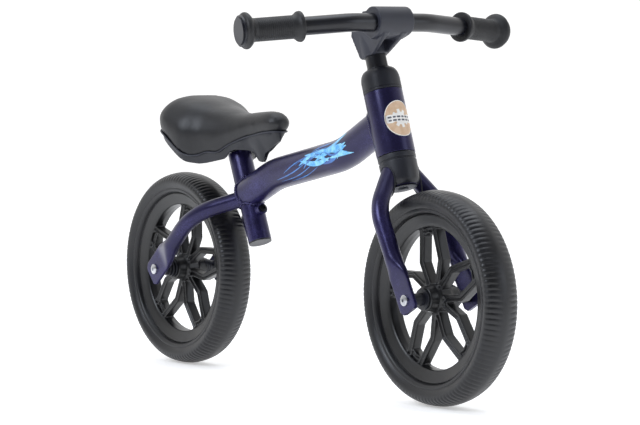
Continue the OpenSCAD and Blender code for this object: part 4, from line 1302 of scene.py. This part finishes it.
@dataclass
class Wheel:
    """One wheel: a grooved foam tyre on a moulded rim with paired, kinked spokes."""

    shop: Workshop
    body: Body
    word: str
    turn: float
    tyre_half: float = 23.0
    rim_half: float = 14.0
    rim_r: float = 100.0
    bore_r: float = 84.5
    hub_r: float = 17.5
    hub_end_r: float = 15.0
    hub_half: float = 22.0
    pairs: int = 5
    spoke_w: float = 8.4
    spoke_half: float = 6.8
    rib: float = 2.2
    groove: float = 2.4
    tread_pitch: float = 6.65
    tread_depth: float = 0.45

    def build(self) -> None:
        """Builds the tyre and the moulding."""
        self.tyre()
        self.moulding()

    def centre(self) -> Points:
        """Gives the wheel's centre."""
        return centre_of(f"{self.word}_tyre")

    def outer_r(self) -> float:
        """Gives the tyre's outer radius."""
        low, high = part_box(f"{self.word}_tyre")
        return float(high.z - low.z) / 2 / MM

    def place(self, local: Points) -> Points:
        """Takes points in the wheel's plane, with z to the rider's right, to the row frame."""
        return self.centre() + np.stack([local[..., 0], -local[..., 2], local[..., 1]], -1)

    def tyre(self) -> None:
        """Builds the tyre with fine cross grooves on its shoulders and a bead line on its walls."""
        big, rim, wall = self.outer_r(), self.rim_r, self.tyre_half
        half = [
            (rim - 3.5, 11.3), (rim - 0.4, 12.8), (rim + 0.3, 14.6), (rim + 0.9, 17.6),
            (rim + 3.0, 18.9),
            (rim + 5.2, 19.5), (rim + 5.9, 19.2), (rim + 6.6, 19.8), (big - 17, 21.9),
            (big - 14, wall - 0.3),
            (big - 11.5, wall), (big - 9, wall - 0.5), (big - 6.8, 21.0), (big - 4.8, 18.6),
            (big - 3.2, 15.4),
            (big - 2.0, 12.0), (big - 1.1, 8.4), (big - 0.4, 4.4), (big, 1.2)
        ]
        profile = half + [(r, -y) for r, y in half[::-1]]
        count = int(round(2 * math.pi * big / self.tread_pitch))
        phase = np.array([0.0, 0.62, 0.7, 0.92])
        cut = np.array([0.0, 0.0, 1.0, 1.0])
        angles = ((np.arange(count)[:, None] + phase) / count * 2 * np.pi).ravel()
        deep = np.tile(cut, count)
        rings = []
        for r, y in profile:
            reach = big - r
            share = float(smooth_step((abs(y) - 7) / 3)
                * smooth_step((13.5 - reach) / 3)) if reach < 16 else 0.0
            bend = 0.010 * smooth_step((abs(y) - 4) / 14)
            cut_r, turn = r - self.tread_depth * share * deep, angles + bend
            rings.append(np.stack([cut_r * np.cos(turn), cut_r * np.sin(turn), np.full(len(turn),
            -y)], 1))
        rings = np.array([self.place(r) for r in rings])
        made = skin(f"{self.word}_tyre_skin", rings, loop=True, crease=50)
        self.shop.dress(made, FOAM, self.body, [f"{self.word}_tyre"])

    def spoke_solids(self, angle: float) -> list[Solid]:
        """Gives the solids of one pair of spokes: thin webs, raised ribs and the pad at the rim."""
        kink_r = self.hub_r + 0.4 * (self.bore_r - self.hub_r)
        web = self.spoke_half - self.groove
        solids = []
        for s in (-1, 1):
            line = np.array([[self.hub_r - 5, s * 6.4], [kink_r, s * 18.0],
            [self.bore_r + 2, s * 11.0]])
            solids.append(prism(band(line, self.spoke_w), -web, web))
            along = unit(np.diff(line, axis=0))
            side = np.stack([-along[:, 1], along[:, 0]], 1)
            normal = np.array([side[0], unit(side[0] + side[1]), side[1]])
            for edge in (-1, 1):
                shift = normal * edge * (self.spoke_w - self.rib) / 2
                solids.append(prism(band(line + shift, self.rib), -self.spoke_half,
                self.spoke_half))
        b = self.bore_r
        pad = np.array([[b - 9, -12.0], [b + 1, -12.0], [b + 1, 12.0], [b - 9, 12.0]])
        solids.append(prism(pad, 1 - web, web - 1))
        bridge = np.array([[b - 9, -9.0], [b - 6.5, 0.0], [b - 9, 9.0]])
        solids.append(prism(band(bridge, self.rib), -self.spoke_half + 0.6, self.spoke_half - 0.6))
        c, n = math.cos(angle), math.sin(angle)
        spin = np.array([[c, n, 0], [-n, c, 0], [0, 0, 1]])
        return [(p @ spin, f) for p, f in solids]

    def moulding(self) -> None:
        """Builds the rim, spokes and hub as one moulding with soft corners."""
        w, r, b = self.rim_half, self.rim_r, self.bore_r
        rim = [
            (b - 1.4, 0), (b - 0.4, w - 5.5), (b + 1.2, w - 4.2), (b + 4.0, w - 3.0),
            (r - 4.2, w - 0.9), (r - 1.6, w),
            (r, w - 0.4), (r - 0.2, w - 2.6), (r - 5, w - 3.2), (r - 5, -w + 3.2),
            (r - 0.2, -w + 2.6), (r, -w + 0.4),
            (r - 1.6, -w), (r - 4.2, -w + 0.9), (b + 4.0, -w + 3.0), (b + 1.2, -w + 4.2),
            (b - 0.4, -w + 5.5)
        ]
        h, e = self.spoke_half + 2, self.hub_half
        hub = [
            (5.2, -e), (self.hub_end_r - 1, -e), (self.hub_end_r, -e + 1),
            (self.hub_end_r + 0.4, -h - 1.5), (self.hub_r - 1, -h),
            (self.hub_r, -h + 1.4), (self.hub_r, h - 1.4), (self.hub_r - 1, h),
            (self.hub_end_r + 0.4, h + 1.5),
            (self.hub_end_r, e - 1), (self.hub_end_r - 1, e), (5.2, e)
        ]
        solids = [turned(rim, 160, loop=True), turned(hub, 64, loop=True)]
        for i in range(self.pairs):
            solids += self.spoke_solids(math.radians(self.turn) + 2 * math.pi * i / self.pairs)
        made = weld_solids(f"{self.word}_wheel_skin", [(self.place(p), f) for p, f in solids], 1.0,
            3)
        self.shop.dress(made, WHEEL_NYLON, self.body, [f"{self.word}_wheel"])


@dataclass
class Saddle:
    """The padded saddle on its moulded pan."""

    shop: Workshop
    tubes: TubeFrame
    rear: float = -121.0
    nose: float = 106.0
    half: float = 67.5
    back_r: float = 38.0
    nose_r: float = 20.0
    swell: float = 4.0
    tuck: float = 6.0
    dish: float = 3.5
    seam_line: tuple = (
        (-126, 31), (-100, 28), (-84, 23), (-47, -3), (-36, -4.5), (-24, 1.5), (-15, 2),
        (-7, -0.5), (11, 11), (38.5, 21.2),
        (71, 27.9), (94, 30.5), (106, 29)
    )
    pan_line: tuple = (
        (-126, 25), (-100, 21), (-86, 14), (-65, -1), (-48, -12), (-36, -14), (-25, -12.5),
        (-11, -9.5), (3, -6.5),
        (9, 3), (20, 6), (36, 5), (43, -1), (47, -8), (58, -10), (62, 2), (72, 6), (84, 14),
        (108, 25)
    )
    top_line: tuple = (
        (-126, 69), (-108, 75), (-90, 76.5), (-58, 72), (-20, 60), (8, 53), (26, 51.5), (50, 54),
        (76, 56), (108, 53)
    )

    @staticmethod
    def height(line: Sequence[tuple[float, float]], x: Points, soften: int = 11) -> Points:
        """Reads a height from a side line, smoothed over that many millimetres each way."""
        xs, zs = np.array(line, float).T
        fine = np.linspace(xs[0], xs[-1], 241)
        raw = np.interp(fine, xs, zs)
        kernel = np.hanning(2 * soften + 1)
        padded = np.pad(raw, soften, mode="edge")
        return np.interp(x, fine, np.convolve(padded, kernel / kernel.sum(), "valid"))

    def plan(self, count: int = 180) -> Points:
        """Gives the saddle's plan outline as evenly spaced points, from the nose round by the left."""
        knots = []
        for t in np.linspace(0, 84, 9):
            a = math.radians(t)
            knots.append((self.nose - self.nose_r + self.nose_r * math.cos(a), self.nose_r
            * math.sin(a)))
        knots += [(0.46 * self.nose, self.nose_r + 3), (0.08 * self.nose, 0.49 * self.half)]
        knots += [(0.28 * self.rear, 0.72 * self.half),
        (self.rear + self.back_r + 36, self.half - 2.4)]
        for t in np.linspace(78, 180, 12):
            a = math.radians(t)
            knots.append((self.rear + self.back_r + self.back_r * math.cos(a), 26 + self.back_r
            * 1.15 * math.sin(a)))
        upper = np.array(knots)
        whole = np.concatenate([upper, (upper * [1, -1])[::-1]])
        ring = np.concatenate([whole, whole[:1]])
        run = np.concatenate([[0], np.cumsum(np.linalg.norm(np.diff(ring, axis=0), axis=1))])
        even = np.linspace(0, run[-1], count, endpoint=False)
        points = np.stack([np.interp(even, run, ring[:, k]) for k in (0, 1)], 1)
        kernel = np.hanning(13) / np.hanning(13).sum()
        return np.stack([np.convolve(np.pad(points[:, k], 6, mode="wrap"), kernel, "valid")
            for k in (0, 1)], 1)

    def level(self, inset: float) -> Points:
        """Gives the plan outline moved inward by a distance."""
        p = self.plan()
        along = unit(np.roll(p, -1, 0) - np.roll(p, 1, 0))
        return p + inset * np.stack([-along[:, 1], along[:, 0]], 1)

    def place(self, local: Points) -> Points:
        """Takes points from the top of the seat tube to the row frame."""
        return self.tubes.seat.foot + self.tubes.seat_up * SEAT_UP + local

    def build(self) -> None:
        """Builds the cover, its seam welt and the pan."""
        self.cover()
        self.welt()
        self.pan()
        self.shop.dress_nodes(TURNED_STEEL, "seat_post", "saddle_bracket")
        self.shop.dress_nodes(ZINC, "saddle_screws")

    def cover_rings(self) -> Points:
        """Gives the rings of the cover, from under its edge up to its crown."""
        edge = self.level(0)
        spine_x = np.clip(edge[:, 0], self.rear + 52, self.nose - 24)
        spine = np.stack([spine_x, np.zeros(len(edge))], 1)
        seam = self.height(self.seam_line, edge[:, 0])
        rings = []
        for share in (0.55, 0.94):
            flat = spine + (self.level(self.tuck) - spine) * share
            rings.append(np.column_stack([flat, self.height(self.seam_line, flat[:, 0]) - 1.2]))
        for t in np.linspace(0, 1, 22):
            share = math.cos(t * math.pi / 2) ** 0.8
            rise = math.sin(t * math.pi / 2) ** 0.9
            tucked = self.tuck * (1 - smooth_step(t / 0.3))
            flat = spine + (self.level(tucked) - spine) * share
            hollow = smooth_step((flat[:, 0] + 110) / 50) * smooth_step((10 - flat[:, 0]) / 50)
            top = self.height(self.top_line, flat[:,
                0]) - self.dish * hollow * smooth_step((t - 0.55) / 0.45)
            z = seam * (1 - rise) + top * rise
            rings.append(np.column_stack([flat, z]))
        return self.place(np.array(rings))

    def cover(self) -> None:
        """Builds the padded cover and lets air pressure crown it."""
        rings = self.cover_rings()
        around = rings.shape[1]
        faces = skin_faces(len(rings), around, caps=False) + [list(range(around))[::-1]]
        made = mesh_object("saddle_cover_skin", rings.reshape(-1, 3), faces)
        remesh = made.modifiers.new("even", "REMESH")
        remesh.mode = "VOXEL"
        remesh.voxel_size = 4.0 * MM
        soft = made.modifiers.new("soft", "SMOOTH")
        soft.iterations = 6
        apply_modifiers(made)
        self.inflate(made)
        fine = made.modifiers.new("fine", "SUBSURF")
        fine.levels = fine.render_levels = 1
        apply_modifiers(made)
        shade(made, 80)
        self.shop.dress(made, VINYL, Body.SADDLE, ["saddle_cover"])

    def inflate(self, piece: Object) -> None:
        """Runs the cloth pressure on a cover and keeps each point within the swell.

        Args:
            piece: The evenly meshed cover.
        """
        rest = np.array([v.co for v in piece.data.vertices], float)
        local = rest / MM - self.place(np.zeros(3))
        seam = self.height(self.seam_line, local[:, 0])
        hold = piece.vertex_groups.new(name="hold")
        for i in np.nonzero(local[:, 2] < seam + 7)[0]:
            hold.add([int(i)], 1.0, "REPLACE")
        cloth = piece.modifiers.new("air", "CLOTH")
        cloth.settings.use_pressure = True
        cloth.settings.uniform_pressure_force = 4
        cloth.settings.effector_weights.gravity = 0
        cloth.settings.vertex_group_mass = "hold"
        scene = bpy.context.scene
        for step in range(1, 21):
            scene.frame_set(step)
        graph = bpy.context.evaluated_depsgraph_get()
        blown = piece.evaluated_get(graph).to_mesh()
        moved = np.array([v.co for v in blown.vertices], float) - rest
        piece.evaluated_get(graph).to_mesh_clear()
        far = np.linalg.norm(moved, axis=1, keepdims=True)
        moved *= np.minimum(1, self.swell * MM / np.maximum(far, 1e-9))
        piece.modifiers.clear()
        scene.frame_set(1)
        piece.data.vertices.foreach_set("co", (rest + moved).astype(np.float32).ravel())
        piece.data.update()
        LOG.info("%s swelled by up to %.1f mm", piece.name, float(np.linalg.norm(moved,
        axis=1).max()) / MM)

    def welt(self) -> None:
        """Builds the raised welt where the cover is tucked into the pan."""
        edge = self.level(self.tuck + 0.4)
        loop = self.place(np.column_stack([edge, self.height(self.seam_line, edge[:, 0])]))
        out = unit(np.column_stack([edge - self.level(self.tuck + 8), np.zeros(len(edge))]))
        made = bead_on("saddle_welt", loop, out, 1.3, 1)
        # The greyer stem moulding on the welt is a painted highlight: its lighter grey stands for the thin
        # light line where the welt catches the light.
        self.shop.dress(made, STEM_NYLON, Body.SADDLE)

    def pan(self) -> None:
        """Builds the pan: a skirt below the welt with a rolled lip, and its roof inside."""
        rings = []
        # Each ring: inset from the plan, share of the way from welt to lip, and a lift
        for inset, share, lift in (
            (1.2, 0.0, 0.6), (0.9, 0.0, -1.2), (1.8, 0.12, 0), (2.6, 0.4, 0), (3.6, 0.75, 0),
            (4.0, 0.94, 0),
            (4.4, 1.0, -0.3), (5.4, 1.0, -0.3), (6.4, 0.97, 0), (6.8, 0.6, 0), (7.0, 0.1, 0),
            (9.0, 0.0, 1.0)
        ):
            flat = self.level(self.tuck + inset)
            top = self.height(self.seam_line, flat[:, 0])
            low = np.minimum(self.height(self.pan_line, flat[:, 0], 4), top - 3)
            ahead = smooth_step((flat[:, 0] - 22) / 24)
            rise = share if len(rings) < 7 else 1 - (1 - share) * (1 - ahead)
            keel = 1 - 0.78 * ahead * np.clip(rise, 0, 1) ** 1.3 - (0.2 * ahead
                if len(rings) > 7 else 0)
            rings.append(np.column_stack([flat[:, 0], flat[:, 1] * keel, top + (low - top) * rise
            + lift]))
        flat = self.level(self.tuck + 9.0)
        for share in (0.7, 0.3):
            ahead = smooth_step((flat[:, 0] - 22) / 24)
            roof = np.maximum(self.height(self.seam_line, flat[:, 0] * share), 14.0)
            nose = self.height(self.pan_line, flat[:, 0]) + 0.5
            x = flat[:, 0] * (share + (1 - share) * ahead)
            rings.append(np.column_stack([x, flat[:, 1] * share * (1 - 0.98 * ahead), roof
            + (nose - roof) * ahead]))
        made = skin("saddle_pan_skin", self.place(np.array(rings)))
        self.shop.dress(made, BLACK_COVER, Body.SADDLE, ["saddle_pan"])


@dataclass
class Hardware:
    """The CAD parts that keep their own shape: bolts, spacers, bearings and headset parts."""

    shop: Workshop

    def build(self) -> None:
        """Dresses each part in the finish of the real one."""
        self.shop.dress_nodes(ZINC, "front_axle_bolts", "rear_axle_bolts", "stem_screws",
        "expander_bolt")
        self.shop.dress_nodes(BLACK_COVER, "front_spacers", "rear_spacers")
        self.shop.dress_nodes(
            TURNED_STEEL, "upper_cup", "lower_cup", "upper_cone", "lower_cone", "lock_nut",
            "steerer_tube", "expander_wedge",
            "front_axle", "rear_axle", "front_hub_sleeve", "rear_hub_sleeve",
        )
        self.shop.dress_nodes(
            BEARING_STEEL, "upper_balls", "lower_balls", "front_bearing_inners",
            "rear_bearing_inners",
            "front_bearing_outers", "rear_bearing_outers", "front_bearing_balls",
            "rear_bearing_balls",
        )


@dataclass
class Studio:
    """A pale floor, soft lights and a long-lens camera ahead of the bike on its right."""

    shop: Workshop
    lens: float = 156.4
    eye: tuple[float, float, float] = (2.83936, -1.98429, 0.42832)
    aim: tuple[float, float, float] = (0.03285, 0.0, 0.21534)

    def build(self) -> None:
        """Builds the floor, the lights and the camera."""
        self.floor()
        self.light("key", (0.2, -2.6, 2.2), 1.3, 46)
        self.light("fill", (3.0, 1.6, 1.2), 1.6, 14)
        self.light("top", (-0.2, 0.2, 2.8), 2.0, 26)
        self.backdrop()
        self.camera()

    def backdrop(self) -> None:
        """Sets a white backdrop beyond the bike that falls off to pale grey on the near side."""
        world = bpy.data.worlds.new("studio")
        world.use_nodes = True
        tree = world.node_tree
        way = add_node(tree, "ShaderNodeTexCoord").outputs["Generated"]
        beyond = unit(np.array(self.aim) - np.array(self.eye))
        turn = add_node(
            tree, "ShaderNodeVectorMath", {"operation": "DOT_PRODUCT", 1: (beyond[0], beyond[1],
            0.0)}, {0: way}
        )
        fall = add_node(
            tree,
            "ShaderNodeMapRange",
            {"From Min": -0.5, "From Max": 0.5, "To Min": 0.18, "To Max": 1.1},
            {"Value": turn.outputs["Value"]},
        )
        shade_node = tree.nodes["Background"]
        shade_node.inputs["Color"].default_value = linear("#ffffff")
        tree.links.new(fall.outputs["Result"], shade_node.inputs["Strength"])
        bpy.context.scene.world = world
        bpy.context.scene.view_settings.view_transform = "Standard"

    def floor(self) -> None:
        """Lays a large sheet of pale paper under the bike."""
        side = 30000.0
        points = np.array([[-1, -1, 0], [1, -1, 0], [1, 1, 0], [-1, 1, 0]]) * side - [0, 0, 0.2]
        made = mesh_object("studio_floor", points, [[0, 1, 2, 3]])
        table = PaperSweep("lit_white_acrylic_table", "", "#fcfcfc", 0.0, 0.7, 1.49, glow=0.42)
        made.data.materials.append(self.shop.material(table))

    def light(self, word: str, at: tuple[float, float, float], size: float, watts: float) -> None:
        """Adds one soft square light that faces the bike."""
        data = bpy.data.lights.new(f"studio_{word}", "AREA")
        data.size = size
        data.energy = watts
        data.color = (0.84, 0.9, 1.0)
        lamp = bpy.data.objects.new(data.name, data)
        lamp.location = at
        lamp.rotation_euler = (Vector((0, 0, 0.25)) - Vector(at)).to_track_quat("-Z",
            "Y").to_euler()
        bpy.context.scene.collection.objects.link(lamp)

    def camera(self) -> None:
        """Sets the camera on its stand."""
        data = bpy.data.cameras.new("studio_camera")
        data.lens = self.lens
        data.sensor_width = 36.0
        data.clip_end = 100
        made = bpy.data.objects.new(data.name, data)
        made.location = self.eye
        made.rotation_euler = (Vector(self.aim) - Vector(self.eye)).to_track_quat("-Z",
            "Y").to_euler()
        bpy.context.scene.collection.objects.link(made)
        bpy.context.scene.camera = made


def main() -> None:
    """Builds the bike's pieces in order."""
    logging.basicConfig(level=logging.INFO, format="%(name)s: %(message)s")
    shop = Workshop()
    Studio(shop).build()
    tubes = TubeFrame(shop)
    tubes.build()
    Graphics(shop, tubes).build()
    Fork(shop).build()
    Bars(shop).build()
    Wheel(shop, Body.FRONT_WHEEL, "front", 99.0).build()
    Wheel(shop, Body.REAR_WHEEL, "rear", 82.0).build()
    Saddle(shop, tubes).build()
    Hardware(shop).build()


if __name__ == "__main__":
    main()
